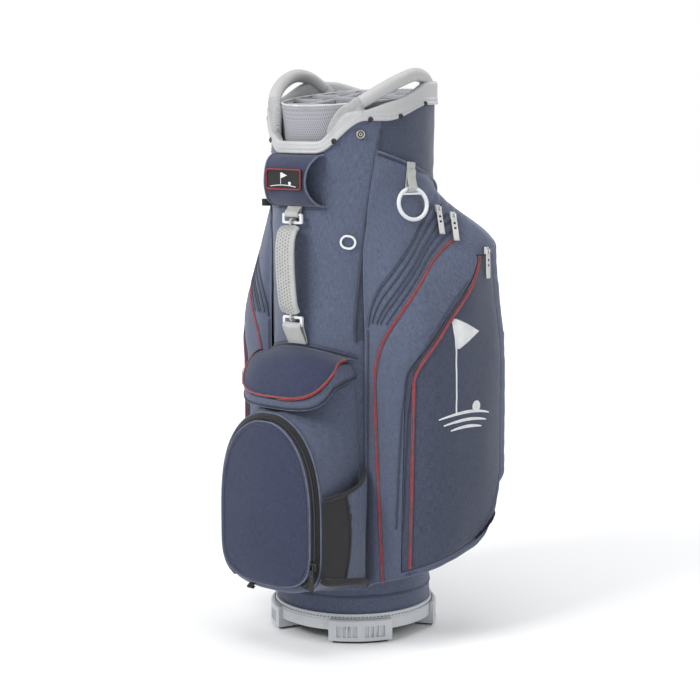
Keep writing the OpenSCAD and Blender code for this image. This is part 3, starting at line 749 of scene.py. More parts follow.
def perforated(name, color, hole, half_width):
    """Soft moulded strap with rows of small pits down its middle, painted dark in the pits as painted shade.
    """
    m = Nodes(name, color, 0.6, Specular_IOR_Level=0.35)
    u, v = m.cloth()
    pitch = 5.2 * MM
    column = m.math("DIVIDE", u, pitch)
    odd = m.math("FRACT", m.mul(m.math("FLOOR", column), 0.5))
    row = m.add(m.math("DIVIDE", v, pitch), odd)
    across = m.math("SUBTRACT", m.math("FRACT", column), 0.5)
    along = m.math("SUBTRACT", m.math("FRACT", row), 0.5)
    away = m.math("SQRT", m.add(m.mul(across, across), m.mul(along, along)))
    wobble = m.mad(m.noise(m.place(), 260.0, 2.0), 0.22, -0.11)
    pit = m.math("LESS_THAN", m.add(away, wobble), 0.27)
    aside = m.math("ABSOLUTE", m.math("SUBTRACT", u, half_width * MM))
    pit = m.mul(pit, m.math("LESS_THAN", aside, (half_width - 7) * MM))
    tone = m.noise(m.place(), 120.0, 3.0)
    base = m.ramp(tone, shade(color, 0.92), shade(color, 1.05), (0.3, 0.7))
    # the pits take the dark colour: painted shade
    base = m.blend(m.mul(pit, 0.75), base, hole)
    return m.finish(base, 0.6, m.bump(m.math("SUBTRACT", 1.0, pit), 0.0008, 0.8))


def waffle():
    """Moulded plastic with a grid of small raised diamonds, darker in the grooves as painted shade and paler
    on the diamonds as painted highlight.
    """
    m = Nodes("waffle_with_painted_shade", PALE, 0.5, Specular_IOR_Level=0.4)
    split = m.node("SeparateXYZ", m.place())
    u = m.mul(m.math("ARCTAN2", split.outputs[0], split.outputs[1]), 0.125)
    v = split.outputs[2]
    plus, minus = m.add(u, v), m.math("SUBTRACT", u, v)
    grid = m.mul(m.wave(plus, 3.4 * MM), m.wave(minus, 3.4 * MM))
    # painted shade in the grooves, painted highlight on the diamonds
    base = m.ramp(m.mad(grid, 0.5, 0.5), shade(PALE, 0.62), shade(PALE, 1.12), (0.15, 0.7))
    return m.finish(base, 0.52, m.bump(grid, 0.0007, 0.8))


def coil():
    """Zip coil: fine ridges across a cord, paler on the ridges as painted highlight and darker between them
    as painted shade.
    """
    m = Nodes("zip_coil", (0.02, 0.02, 0.022), 0.35, Specular_IOR_Level=0.5)
    v = m.cloth()[1]
    ridge = m.wave(v, 1.5 * MM)
    # painted highlight on the ridges, painted shade between them
    base = m.ramp(ridge, (0.006, 0.006, 0.007), (0.06, 0.06, 0.065), (0.2, 0.9))
    return m.finish(base, 0.38, m.bump(ridge, 0.0004, 0.9))


FABRIC = (0.076, 0.092, 0.143)
# the bag cloth darkened as painted shade, for faces turned from the key light: the tube's sides, the pocket
# doors and the spine pad
FABRIC_IN_PAINTED_SHADE = (0.045, 0.054, 0.088)
DEEP_FABRIC = (0.024, 0.030, 0.067)
PALE = (0.395, 0.40, 0.405)
cloth_blue = woven("bag_cloth", FABRIC)
# a shaded copy of the bag cloth: painted shade
cloth_in_painted_shade = woven("side_cloth_painted_shade", FABRIC_IN_PAINTED_SHADE)
cloth_deep = woven("deep_cloth", DEEP_FABRIC, pitch=1.3)
# the bag cloth darkened as painted shade, for the valleys of seams and the strips beside cords
cloth_painted_seam_shade = woven("painted_seam_shade_cloth", shade(FABRIC, 0.62), pitch=1.2)
lining = woven("black_lining", (0.012, 0.013, 0.016), sheen=0.05)
thread_blue = cord_cover("thread_blue", shade(FABRIC, 0.55))
thread_pale = cord_cover("thread_pale", (0.42, 0.43, 0.43))
red_piping = cord_cover("red_piping", (0.30, 0.042, 0.040))
blue_piping = cord_cover("blue_piping", shade(FABRIC, 1.15))
dark_piping = cord_cover("dark_piping", (0.020, 0.023, 0.035))
pale_piping = cord_cover("pale_piping", (0.46, 0.47, 0.48))
pale_mesh = netting("pale_mesh", (0.30, 0.305, 0.33), (0.13, 0.135, 0.155), 3.4)
black_mesh = netting("black_mesh", (0.030, 0.030, 0.032), (0.004, 0.004, 0.005), 2.6)
pale_web = webbing("pale_webbing", (0.42, 0.43, 0.415))
black_web = webbing("black_webbing", (0.016, 0.016, 0.018))
black_tape = webbing("zip_tape", (0.013, 0.013, 0.014), 1.4)
cuff_plastic = moulded("cuff_plastic", PALE, 0.48)
base_plastic = moulded("base_plastic", (0.52, 0.54, 0.56), 0.46)
grip_rubber = moulded("grip_rubber", (0.385, 0.385, 0.385), 0.55, 420.0, 0.00008, 0.35)
pull_plastic = moulded("pull_plastic", (0.52, 0.52, 0.51), 0.35, 500.0, 0.00004)
ring_plastic = moulded("ring_plastic", (0.62, 0.64, 0.66), 0.3, 500.0, 0.00003, coat=0.2)
black_plastic = moulded("black_plastic", (0.012, 0.012, 0.013), 0.35, 420.0, 0.00005, wear=3.0)
dark_plastic = moulded("dark_plastic", (0.05, 0.05, 0.052), 0.55)
pad_rubber = moulded("pad_rubber", (0.035, 0.035, 0.036), 0.75, 300.0, 0.0002)
strap_grip = perforated("strap_grip", (0.37, 0.375, 0.365), (0.13, 0.13, 0.125), 18.5)
stud_metal = brushed("stud_metal", (0.62, 0.58, 0.5))
rod_metal = brushed("rod_metal", (0.6, 0.6, 0.62))
badge_black = moulded("badge_black", (0.010, 0.010, 0.011), 0.4, 300.0, 0.00006, wear=2.0)
badge_red = cord_cover("badge_red", (0.30, 0.018, 0.026))
motif_white = webbing("motif_white", (0.78, 0.79, 0.80), 1.0)
waffle_with_painted_shade = waffle()
zip_coil = coil()
thread_black = cord_cover("thread_black", (0.03, 0.03, 0.032))

# ------------------------------------------------------------------ seams laid on a surface


def laid(place, step, a, b, out=0.0):
    """A line on place(a, b), lifted by out, with the surface's normals."""
    a, b = np.asarray(a, float), np.asarray(b, float)
    da = place(a + step, b) - place(a - step, b)
    db = place(a, b + 2.0) - place(a, b - 2.0)
    up = unit(np.cross(da, db))
    return place(a, b) + up * out, up


def on_tube(angle, z, out=0.0):
    return laid(tube_point, 0.3, angle, z, out)


def on_pocket(s, z, out=0.0):
    return laid(pocket_point, 0.004, s, z, out)


def offset(path, up, distance):
    """A line beside another on the same surface."""
    side = unit(np.cross(np.gradient(path, axis=0), up))
    return path + side * distance


def even(path, up, step=3.0):
    both = resample(np.concatenate([path, np.broadcast_to(up, path.shape)], 1), step)
    return both[:, :3], unit(both[:, 3:])


def topstitched(build, line, sides, ribbon, height=0.35):
    """A sewn seam: a ribbon of darker cloth, painted shade for the seam's valley, with rows of stitches
    beside it.
    """
    path, up = even(*line)
    build.sweep(path, up, band_profile(ribbon, height))
    for distance in sides:
        build.stitches(offset(path, up, distance), up, slot=1)


def piping(build, line, radius, lip, slot=0, lip_slot=1, twin=0.0):
    """A covered cord, perhaps with a thinner one beside it, and the strip it is sewn in by, in darker cloth
    as painted shade beside the cord.
    """
    path, up = even(*line, 2.2)
    build.sweep(path + up * radius * 0.7, up, circle(radius, 12), slot)
    if twin:
        build.sweep(offset(path, up, twin) + up * radius * 0.3, up, circle(radius * 0.62, 10), slot)
    build.sweep(path, up, band_profile(lip, 0.7), lip_slot)

# ------------------------------------------------------------------ the tube


def tube_angles(z):
    """Angles round the tube whose columns follow the two front seams."""
    seam = seam_angle(z)
    right = np.concatenate([
        lerp(0, seam, np.arange(SEAM_COLUMN) / SEAM_COLUMN), lerp(seam, 142 + 0 * seam, np.arange(52) / 52),
        lerp(142, 180, np.arange(22) / 22) + 0 * seam,
    ])
    return np.concatenate([right, 360 - np.concatenate([[180.0], right[:0:-1]])])


def tube_cloth():
    """The tube's outer cloth, with a darker copy behind the two front seams as painted shade on the sides."""
    rows = []
    for t in np.linspace(0, 1, 130):
        level = np.float64(lerp(TUBE_BASE, 800, t))
        for _ in range(3):
            level = lerp(TUBE_BASE, tube_top(seam_angle(level)), t)
        angle = tube_angles(level)
        z = lerp(TUBE_BASE, tube_top(angle), t)
        calm = clamp01(np.minimum(z - TUBE_BASE, tube_top(angle) - z) / 40)
        spot = tube_point(angle, z)
        crease = ripples(spot * [1, 1, 0.45], 95, 3) * 1.1 + ripples(spot * [1, 1, 2.2], 60, 4) * 0.5
        near_seam = 1 - np.exp(-(np.abs(from_front(angle) - seam_angle(z)) * 2.2 / 9))
        push = calm * (np.clip(crease, -2.0, 0.5) * near_seam - 0.3) - 1.2 * calm * (1 - near_seam)
        rows.append((angle, z, push))
    angle, z, push = (np.array(k) for k in zip(*rows))
    build = Build()
    build.shell(tube_point(angle, z, push), tube_point(angle, z, push - WALL), closed=True, inner_slot=2)
    column = np.arange(z.shape[1])
    behind = (column >= SEAM_COLUMN) & (column < len(column) - SEAM_COLUMN)
    # cells behind the seams above 480 mm take the darker cloth: painted shade on the sides
    build.paint(behind & ((z[:-1] + z[1:]) / 2 > 480), 1)
    return build.piece(
        "tube_cloth", [cloth_blue, cloth_in_painted_shade, lining],
        slot="bag_fabric", replaces=["tube_shell"],
    )


def tube_seams():
    build = Build()
    z = np.linspace(480, 806, 120)
    for side in (1, -1):
        topstitched(build, on_tube(side * seam_angle(z), z), (-2.6, 2.6), 1.8)
    angle = np.linspace(-40, 24, 60)
    topstitched(build, on_tube(angle, 685 + 0 * angle), (-2.6,), 1.4)
    turn = np.linspace(0, 360, 241)[:-1]
    path, up = on_tube(turn, 74 + 0 * turn, 0.2)
    topstitched(build, (loop(path), loop(up)), (2.6,), 1.6)
    return build.piece("tube_seams", [cloth_painted_seam_shade, thread_blue], slot="bag_fabric")


def divider_cloths():
    """Full-length dividers: long walls along Y and short ones across."""
    build = Build()

    def wall(a, b, seed):
        u, t = np.meshgrid(np.linspace(0, 1, 16), np.linspace(0, 1, 40))
        spot = lerp(np.array([*a, 30.0]), np.array([*b, 30.0]), u[..., None])
        spot[..., 2] = lerp(30, 830, t)
        way = unit(np.array([b[1] - a[1], a[0] - b[0], 0.0]))
        calm = sind(180 * u) * sind(180 * t) ** 0.5
        spot = spot + way * (ripples(spot * [1, 1, 0.4], 70, seed) * 1.2 * calm)[..., None]
        build.shell(spot + way * 0.7, spot - way * 0.7)

    for side in (-1, 1):
        wall((side * 38, -98), (side * 38, 98), 11 + side)
        for k, y in enumerate((-62, -21, 21, 62)):
            far = 84 if abs(y) > 40 else 102
            wall((side * 39.2, y), (side * far, y), 20 + k + 5 * side)
    for k, y in enumerate((-66, 0, 62)):
        wall((-36.8, y), (36.8, y), 40 + k)
    obj = build.piece("divider_cloths", [lining], slot="dark_plastic", replaces=["divider_walls"])
    return obj

# ------------------------------------------------------------------ the mouth: rim, bars, cuff and handles


def mouth_rim():
    build = Build()
    angle = np.arange(288) * 1.25
    low, high = cuff_low(angle) - 4, 842 + 13 * (1 - cosd(angle))
    puff = 0.8 * np.abs(sind(angle * 4)) ** 0.5
    section = [
        (-16.0, low), (-15.6, lerp(low, high, 0.3)), (-15.5, lerp(low, high, 0.7)), (-15.8, high - 6),
        (-16.4, high - 2.5), (-17.6, high - 0.4), (-18.8, high - 0.2), (-20.0, high - 1.6), (-20.8, high - 5),
        (-20.9 - puff, lerp(low, high, 0.6)), (-20.7 - puff, lerp(low, high, 0.3)), (-20.4, low),
    ]
    build.grid(np.array([tube_point(angle, z, out + 0 * angle) for out, z in section]), closed=True)
    build.sweep(loop(tube_point(angle, high + 0.7, -18.2)), [0, 0, 1], circle(1.7, 10), slot=1, caps=False)
    for out, way in ((-20.9, -1), (-15.7, 1)):
        line = tube_point(angle, high - 4.2, out)
        build.stitches(line, way * outward(line), slot=2)
    return build.piece(
        "mouth_rim", [pale_mesh, pale_piping, thread_pale], slot="mesh_grey", replaces=["divider_rim"])


def outlines(like, corners):
    """A profile for each point of a path, from corners whose two numbers may change along it."""
    return np.stack([np.stack(np.broadcast_arrays(x, y, like)[:2], -1) for x, y in corners], 1)


def bar_top(y):
    return 842 + 26 * clamp01((y + 100) / 160)


def mouth_bars():
    """Padded bars between the compartments, each a mesh sleeve with a rolled top."""
    build = Build()

    def bar(a, b, top, sag):
        t = np.linspace(0, 1, 40)
        path = lerp(np.array([*a, BAR_FOOT]), np.array([*b, BAR_FOOT]), t[:, None])
        high = top(path[:, 1]) - BAR_FOOT - sag * sind(180 * t)
        half = 5.9 + 0.35 * sind(180 * t)
        right = [
            (half, 0), (half + 0.2, high * 0.5), (half, high - 4.2), (half * 0.82, high - 1.7),
            (half * 0.45, high - 0.3),
        ]
        corners = [(-half, 0), *right, (0, high), *((-x, y) for x, y in right[:0:-1])]
        build.sweep(path, [0, 0, 1], outlines(t, corners))
        line = path + point(0, 0, high - 5.5)
        along = unit(np.array([b[0] - a[0], b[1] - a[1], 0.0]))
        for side in (-1, 1):
            out = np.cross(along, [0, 0, 1.0]) * side
            build.stitches(line + out * (half[:, None] + 0.1), out, slot=1)

    def long_top(y):
        return np.where(y > 74, 866, lerp(842, 866, clamp01((y + 104) / 178)))

    def cross_top(y):
        return bar_top(y) - 1

    for side in (-1, 1):
        bar((side * 38, -104), (side * 38, 98), long_top, 1.5)
        for y in (-62, -21, 21, 62):
            bar((side * 43.4, y), (side * (84 if abs(y) > 40 else 102), y), cross_top, 1.0)
    for y in (-66, 0, 62):
        bar((-32.6, y), (32.6, y), cross_top, 1.2)
    obj = build.piece("mouth_bars", [pale_mesh, thread_pale], slot="mesh_grey", replaces=["divider_frame"])
    return obj


def cuff():
    """The moulded cuff: a double ridge along its foot and two posts under the front of each handle."""
    build = Build()
    angle = np.arange(320) * 1.125
    low, high = cuff_low(angle), cuff_high(angle)
    section = [
        (3.0, low + 0.2), (4.6, low), (5.6, low + 1.0), (5.9, low + 2.6), (5.3, low + 4.2), (4.1, low + 5.0),
        (4.0, low + 6.0), (5.0, low + 6.8), (5.4, low + 8.2), (4.9, low + 9.8), (4.2, low + 11.0),
        (4.4, high - 6.5), (4.3, high - 3.6), (3.4, high - 1.4), (1.6, high - 0.2), (-0.8, high + 0.1),
        (-3.4, high - 0.2), (-6.6, high - 1.0), (-9.0, high - 3.4), (-10.0, high - 8), (-9.2, low + 6),
        (-8.0, low + 1.5), (-4.0, low), (-0.5, low),
    ]
    rows = np.array([tube_point(angle, z, out + 0 * angle) for out, z in section])
    build.grid(loop(rows), closed=True)

    def root(angle, drop):
        return tube_point(np.float64(angle), cuff_high(angle) - drop, -3.0)

    h = handle_point(np.linspace(0, 1, 61))
    posts = [
        ([root(27.5, 9), root(28, 0), h[2], h[6], h[10]], [7.5, 6.5, 6.5, 9, 11], [8, 8, 8.5, 10, 10.5]),
        ([root(47, 9), root(46, -1), h[8] - [0, 0, 3], h[11], h[15]], [9, 7, 6.5, 8, 9], [8, 8, 8.5, 9, 9]),
        (h[4:58:3], [9, 8, 8, 8, 8, 9], [9, 8, 8, 8, 8, 9]),
        ([h[50], h[55], h[59], root(122, 20)], [9.2, 9.2, 9.5, 10], [9.2, 9.0, 8.5, 7]),
    ]
    t = np.linspace(0, 1, 30)
    turn = 2 * math.pi * np.arange(20) / 20
    across, through = (np.sign(k) * np.abs(k) ** 0.75 for k in (np.cos(turn), np.sin(turn)))
    for side in (1, -1):
        for points, half, thick in posts:
            path = spline(np.array(points) * [side, 1, 1], t)
            w, r = (np.interp(t, np.linspace(0, 1, len(k)), k)[:, None] for k in (half, thick))
            build.sweep(path, outward(path), np.stack([w * across, r * through], -1))
    obj = build.object("cuff_work")
    obj.name = "cuff_body"
    remesh = obj.modifiers.new("Fuse", "REMESH")
    remesh.mode = "VOXEL"
    remesh.voxel_size = 0.0014
    soften = obj.modifiers.new("Soften", "SMOOTH")
    soften.factor = 0.5
    soften.iterations = 3
    graph = bpy.context.evaluated_depsgraph_get()
    obj.data = bpy.data.meshes.new_from_object(obj.evaluated_get(graph))
    obj.modifiers.clear()
    mesh = obj.data
    mesh.name = "cuff_body"
    mesh.materials.clear()
    mesh.materials.append(cuff_plastic)
    mesh.materials.append(waffle_with_painted_shade)
    centre = np.empty(len(mesh.polygons) * 3, np.float32)
    mesh.polygons.foreach_get("center", centre)
    x, y, z = centre.reshape(-1, 3).T / MM
    flare = z > cuff_high(np.degrees(np.arctan2(x, -y))) + 1.5
    mesh.polygons.foreach_set("material_index", flare.astype(np.int32))
    mesh.shade_smooth()
    mesh.update()
    settle(obj, "bag", "light_plastic", ["top_cuff"])
    return obj


def grip():
    """A smooth sleeve on the carry handle, with a mould line and a rolled end."""
    build = Build()
    t = np.concatenate([[0.125, 0.127, 0.132], np.linspace(0.14, 0.875, 90), [0.883, 0.888, 0.89]])
    size = np.concatenate([[0.86, 0.95, 1.0], np.ones(90), [1.0, 0.95, 0.86]])
    path = handle_point(t)
    turn = 2 * math.pi * np.arange(28) / 28
    seam = 1 - 0.02 * np.exp(-((np.degrees(turn) - 90) / 6) ** 2)
    fat = 1 + 0.035 * sind(180 * clamp01((t - 0.12) / 0.77))
    r = GRIP_RADIUS * size * fat
    outline = np.stack([r[:, None] * np.cos(turn) * seam, r[:, None] * 0.97 * np.sin(turn) * seam], -1)
    build.sweep(path, outward(path), outline)
    return build.piece("right_grip", [grip_rubber], slot="grip", replaces=["right_handle_grip"])

# ------------------------------------------------------------------ side pockets

FLAP_LINES = (0.22, 0.45, 0.60, 0.80)
DARK_SEAM = ((193, 0.169), (285, 0.177), (374, 0.187), (440, 0.209), (493, 0.306), (575, 0.51))


def dark_seam_s(z):
    z0, s0 = zip(*DARK_SEAM)
    return np.interp(z, z0, s0)


def flap_s(z, share):
    return lerp(zip_seam_s(z), inner_piping_s(z), share)


def pocket_lines(z):
    """The seams of the pocket as pairs of a place and how deep it is there."""
    above = smooth((z - 503) / 30)
    dark = smooth((z - 180) / 20) * (1 - smooth((z - 575) / 20))
    return [(flap_s(z, share), above) for share in FLAP_LINES] + [
        (zip_seam_s(z), 1 - smooth((z - 700) / 10)), (inner_piping_s(z), 1.0), (dark_seam_s(z), dark),
        (outer_piping_s(z), 1 - smooth((z - 603) / 20)),
    ]


def pocket_swell(s, z):
    """How far the cloth stands out between the seams, with a few soft folds."""
    gap = np.ones_like(s)
    for place, strength in pocket_lines(z):
        near = 1 - np.exp(-np.abs(s - place) * 300 / 9)
        gap = np.minimum(gap, lerp(1.0, near, strength))
    spot = pocket_point(s, z)
    fold = ripples(spot * [1, 1, 0.5], 110, 7) * 1.6 + ripples(spot * [0.5, 0.5, 2.0], 48, 8) * 0.55
    return gap * (3.2 + fold)


def pocket_cloth():
    build = Build()
    loop = 116
    u, v = square_loop(loop)
    s_out, z_out = pocket_map(u, v)
    s_in, z_in = panel_map(u, v, -0.6)
    k = np.linspace(0, 1, 78)[:, None] ** 1.05
    s, z = lerp(s_out, s_in, k), lerp(z_out, z_in, k)
    calm = clamp01(np.minimum(k * 9, (1 - k) * 9)) ** 0.7
    swell = pocket_swell(s, z) * calm
    skirt = np.exp(-((z - 150) / 60) ** 2) * ripples(pocket_point(s, z) * [1, 1, 0.2], 30, 9) * 0.8 * calm
    outer = pocket_point(s, z, swell + skirt)
    inner = outer - normals_of(pocket_point(s, z), True) * WALL
    inner[0] = pocket_point(s[0], z[0], -WALL + 0.2)
    under = panel_map(u, v, 4.0)
    outer = np.concatenate([outer, [pocket_point(s_in, z_in, -3.8), pocket_point(*under, -4.2)]])
    inner = np.concatenate([inner, [pocket_point(s_in, z_in, -5.2), pocket_point(*under, -5.6)]])
    build.shell(outer, inner, closed=True, inner_slot=1)
    obj = build.piece(
        "right_pocket_cloth", [cloth_blue, lining],
        slot="bag_fabric", replaces=["right_apparel_pocket"],
    )
    return obj


def pocket_seams():
    build = Build()
    s = np.linspace(0.0, 1.0, 80)
    for share in FLAP_LINES:
        z = lerp(512, lerp(706, 640, share), s)
        topstitched(build, on_pocket(flap_s(z, share), z, 1.5), (2.4,), 1.7, 0.5)
    z = np.linspace(506, 690, 80)
    topstitched(build, on_pocket(zip_seam_s(z), z, 1.4), (-2.4, 2.4), 1.7)
    z = np.linspace(193, 575, 140)
    for shift in (0.0, 0.022):
        topstitched(build, on_pocket(dark_seam_s(z) + shift, z, 1.2), (2.2,), 1.4)
    z = np.linspace(92, 500, 120)
    topstitched(build, on_pocket(0.018 + 0 * z, z, 0.6), (2.8,), 1.6)
    s = np.linspace(0.05, 0.5, 80)
    topstitched(build, on_pocket(s, pocket_edge(s) + 1.5, 0.8), (3.0,), 1.6)
    return build.piece("right_pocket_seams", [cloth_painted_seam_shade, thread_blue], slot="bag_fabric")


def pocket_trims():
    """A dark cord along the pocket's sloping top edge with a paler cord above it as painted highlight."""
    build = Build()
    s = np.linspace(0.02, 0.99, 150)
    # the first, paler cord is a painted highlight along the top of the piping; the second is the dark cord
    for drop, slot, radius in ((1.4, 0, 1.25), (5.6, 1, 1.35)):
        piping(build, on_pocket(s, pocket_top(s) - drop, 0.2), radius, 3.2, slot, 2)
    return build.piece("right_pocket_trims", [blue_piping, dark_piping, cloth_painted_seam_shade], slot="bag_fabric")


def inner_piping():
    build = Build()
    z = np.linspace(104, 641, 220)
    line = on_pocket(inner_piping_s(z), z, 0.6)
    piping(build, line, 1.05, 5.0, twin=2.5)
    path, up = even(*line)
    build.stitches(offset(path, up, 4.0), up, slot=2)
    return build.piece(
        "right_inner_cord", [red_piping, cloth_painted_seam_shade, thread_blue],
        slot="piping_red", replaces=["right_inner_piping"],
    )


def outer_piping():
    build = Build()
    t = np.linspace(0.004, 0.995, 200)
    s, z = panel_map(DOOR_SEAM + 0 * t, t, 0.8)
    piping(build, on_pocket(s, z, 1.0), 1.05, 5.0, twin=-2.7)
    return build.piece(
        "right_outer_cord", [red_piping, cloth_painted_seam_shade],
        "right_apparel_panel", "piping_red", ["right_outer_piping"],
    )


def door_cloth():
    """The pocket's door, a lined panel that swells between its seams, in the darker cloth as painted shade on
    this side face.
    """
    build = Build()
    rows, cols = ((96, 54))
    u, t = np.meshgrid(np.linspace(0, 1, cols), np.linspace(0, 1, rows))
    s, z = panel_map(u, t, 0.8)
    calm = clamp01(np.minimum(np.minimum(u, 1 - u) * 7, np.minimum(t, 1 - t) * 12)) ** 0.7
    ridge = 1 - np.exp(-np.abs(u - DOOR_SEAM) * 150 / 7)
    spot = pocket_point(s, z)
    fold = ripples(spot * [0.6, 0.6, 0.5], 120, 17) * 1.4 + ripples(spot * [0.5, 0.5, 1.8], 55, 18) * 0.6
    outer = pocket_point(s, z, calm * ridge * (1.6 + fold))
    build.shell(outer, pocket_point(s, z, -WALL), inner_slot=1)
    obj = build.piece(
        "right_door_cloth", [cloth_in_painted_shade, lining],
        "right_apparel_panel", "panel_fabric", ["right_apparel_panel"],
    )
    inflate(obj, 5.0, rows, cols, np.nonzero(ridge.ravel() < 0.35)[0])
    return obj

# ------------------------------------------------------------------ ball pocket


def ball_gusset():
    build = Build()
    u, v = square_loop(72)
    k = np.linspace(0, 1, 30)[:, None]

    def wall(inset):
        front = ball_edge(u, v, 13.4 - inset, -199.6 + inset * 0.3)
        root = ball_root(u, v, inset)
        middle = lerp(root, front, k[..., None])
        middle[..., 2] = lerp(root[:, 2], front[:, 2], k**0.7)
        return middle

    outer, inner = wall(0.0), wall(WALL)
    out = normals_of(outer, True)
    fold = ripples(outer * [0.7, 2.0, 0.7], 50, 27) * 0.9 + ripples(outer * [1, 0.3, 1], 34, 28) * 0.5
    outer = outer + out * ((1.2 + fold) * sind(180 * k) ** 0.8)[..., None]
    lip = ball_edge(u, v, 7, -204.6)[None]
    edge = ball_edge(u, v, 1.0, -206.2)[None]
    outer = np.concatenate([outer, lerp(outer[-1:], lip, 0.6), lip, edge])
    back = ball_edge(u, v, 1.0, -203.4)[None]
    inner = np.concatenate([inner, lerp(inner[-1:], back, 0.4), lerp(inner[-1:], back, 0.7), back])
    build.shell(outer, inner, closed=True, inner_slot=1)
    obj = build.piece("ball_gusset", [cloth_blue, lining], slot="bag_fabric", replaces=["ball_pocket"])
    return obj


def ball_ring(grow, y):
    return resample(loop(ball_edge(*square_loop(72), grow, y)), 2.4)


def ball_zip():
    """The zip round the ball pocket: tape, coil, stitching and a thin pale cord outside it."""
    build = Build()
    u, v = square_loop(96)
    above = ball_edge(u, v, 7, 0)[:, 2] > 112
    order = np.roll(np.arange(len(u)), -int(np.argmax(above & ~np.roll(above, 1))))[:int(above.sum())]
    u, v = u[order], v[order]

    def sloped(t):
        return ball_edge(u, v, lerp(2.6, 13.2, t), lerp(-210.2, -200.6, t ** 1.5))

    rows = np.array([sloped(k) for k in np.linspace(1, 0, 9)])
    build.grid(np.concatenate([rows[:1] + [0, 2.0, 0], rows, rows[-1:] + [0, 1.6, 0]]))
    # the outermost cord is in the darker seam cloth: painted shade along the zip's outer edge
    for k, radius, squash, slot in ((0.36, 1.6, 0.7, 1), (1.0, 1.4, 1.0, 3), (1.12, 1.2, 1.0, 4)):
        ring = resample(sloped(k), 2.4)
        away = unit(unit((ring - [0, 0, 215.0]) * [1, 0, 1]) - [0, 1.2, 0])
        build.sweep(ring + away * 0.5, away, circle(radius, 10, squash), slot=slot)
        if slot == 1:
            for shift in (-3.0, 3.4):
                build.stitches(offset(ring, away, shift), away, slot=2)
    materials = [black_tape, zip_coil, thread_black, blue_piping, cloth_painted_seam_shade]
    return build.piece("ball_zip", materials, slot="black_trim", replaces=["ball_zip_tape"])


def ball_door():
    build = Build()
    rows, cols = ((72, 56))
    u, v = np.meshgrid(np.linspace(0, 1, cols), np.linspace(0, 1, rows))
    dome = (np.maximum(sind(180 * u) * sind(180 * v), 0)) ** 0.4
    spot = ball_edge(u, v, 2.2, -209.4)
    fold = ripples(spot * [0.7, 1, 0.8], 80, 37) * 0.9
    outer = spot + point(0 * u, -(3.8 + 3.4 * dome + fold * dome), 0)
    inner = spot - point(0 * u, 1.0 * dome, 0)
    build.shell(outer, inner, inner_slot=1)
    obj = build.piece("ball_door", [cloth_deep, lining], "ball_panel", "bag_fabric", ["ball_panel"])
    inflate(obj, 3.5, rows, cols)
    return obj


def ball_cord():
    build = Build()
    build.sweep(ball_ring(1.6, -213.2), FRONT, circle(1.4, 10), slot=0, caps=False)
    # a strip of the darker seam cloth inside the cord: painted shade beside it
    build.sweep(ball_ring(-1.2, -213.2), FRONT, band_profile(1.8, 0.8, 1.6), slot=1, caps=False)
    build.stitches(ball_ring(-4.0, -214.9), FRONT, slot=2)
    return build.piece(
        "ball_cord", [blue_piping, cloth_painted_seam_shade, thread_blue], "ball_panel", "piping_blue", ["ball_piping"])


def ball_tab():
    """A folded webbing tab that hangs from the low end of the zip."""
    build = Build()
    line = [(-206.0, 100), (-210.5, 97.5), (-213.0, 95), (-210.5, 93), (-206.5, 96)]
    strap(build, spline([(-34, *p) for p in line], np.linspace(0, 1, 24)), [1.0, 0, 0], 6.0, 1.4)
    return build.piece("ball_tab", [black_web], slot="black_trim")

# ------------------------------------------------------------------ valuables pocket


def valuables_wall():
    """The wall under the lid, which turns back to the tube at both ends."""
    build = Build()
    w, t = np.meshgrid(np.linspace(-1.6, 1.6, 132), np.linspace(0, 1, 12))
    u, turn = np.clip(w, -1, 1), clamp01((np.abs(w) - 1) / 0.6)
    front, side = lid_edge(0.9 * u), lid_point(0.9 * u, 1 - turn)
    high = lerp(front, side, (turn > 0)[..., None])
    root = 87 * np.sign(w)
    low = point(front[..., 0], front[..., 1], 383 + 30 * u**4)
    low = lerp(low, point(root, front_y(root, 436, 1.0), 424 + 0 * w), turn[..., None])
    spot = lerp(low, high - point(0, 0, 4.2 + 4 * turn), t[..., None])
    fold = ripples(spot, 40, 47) * 0.5 * sind(180 * t)
    bulge = (1.2 * sind(180 * t) + fold) * clamp01((1 - np.abs(u)) * 8)
    outer = spot + point(0 * w, 2 * (1 - turn) - bulge, 0)
    inner = point(spot[..., 0] * 0.968, spot[..., 1] + 5 * (1 - turn), spot[..., 2])
    build.shell(outer, inner, inner_slot=1)
    foot = outer[1]
    up = unit(np.stack([foot[:, 0] * 0.9, foot[:, 1] + 110, 0 * foot[:, 0]], -1))
    build.sweep(foot + up * 0.6, up, circle(1.2, 8), slot=2)
    build.sweep(foot + up * 0.2 - [0, 0, 2.6], up, circle(0.8, 8), slot=3)
    build.stitches(foot + up * 0.3 + [0, 0, 3.4], up, slot=4)
    materials = [cloth_blue, lining, dark_piping, blue_piping, thread_blue]
    obj = build.piece("valuables_wall", materials, slot="bag_fabric", replaces=["valuables_pocket"])
    return obj


def valuables_lid():
    build = Build()
    rows, cols = ((44, 76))
    u, t = np.meshgrid(np.linspace(-0.94, 0.94, cols), np.linspace(1, 0, rows))
    fold = ripples(lid_point(u, t) * [0.7, 1, 1], 60, 57) * 0.9 * sind(180 * t) ** 0.6
    outer = lid_point(u, t, fold)
    build.shell(outer, outer - normals_of(outer) * 3.0, inner_slot=1)
    obj = build.piece(
        "valuables_flap", [cloth_deep, lining],
        "valuables_lid", "bag_fabric", ["valuables_lid"],
    )
    inflate(obj, 3.5, rows, cols)
    return obj


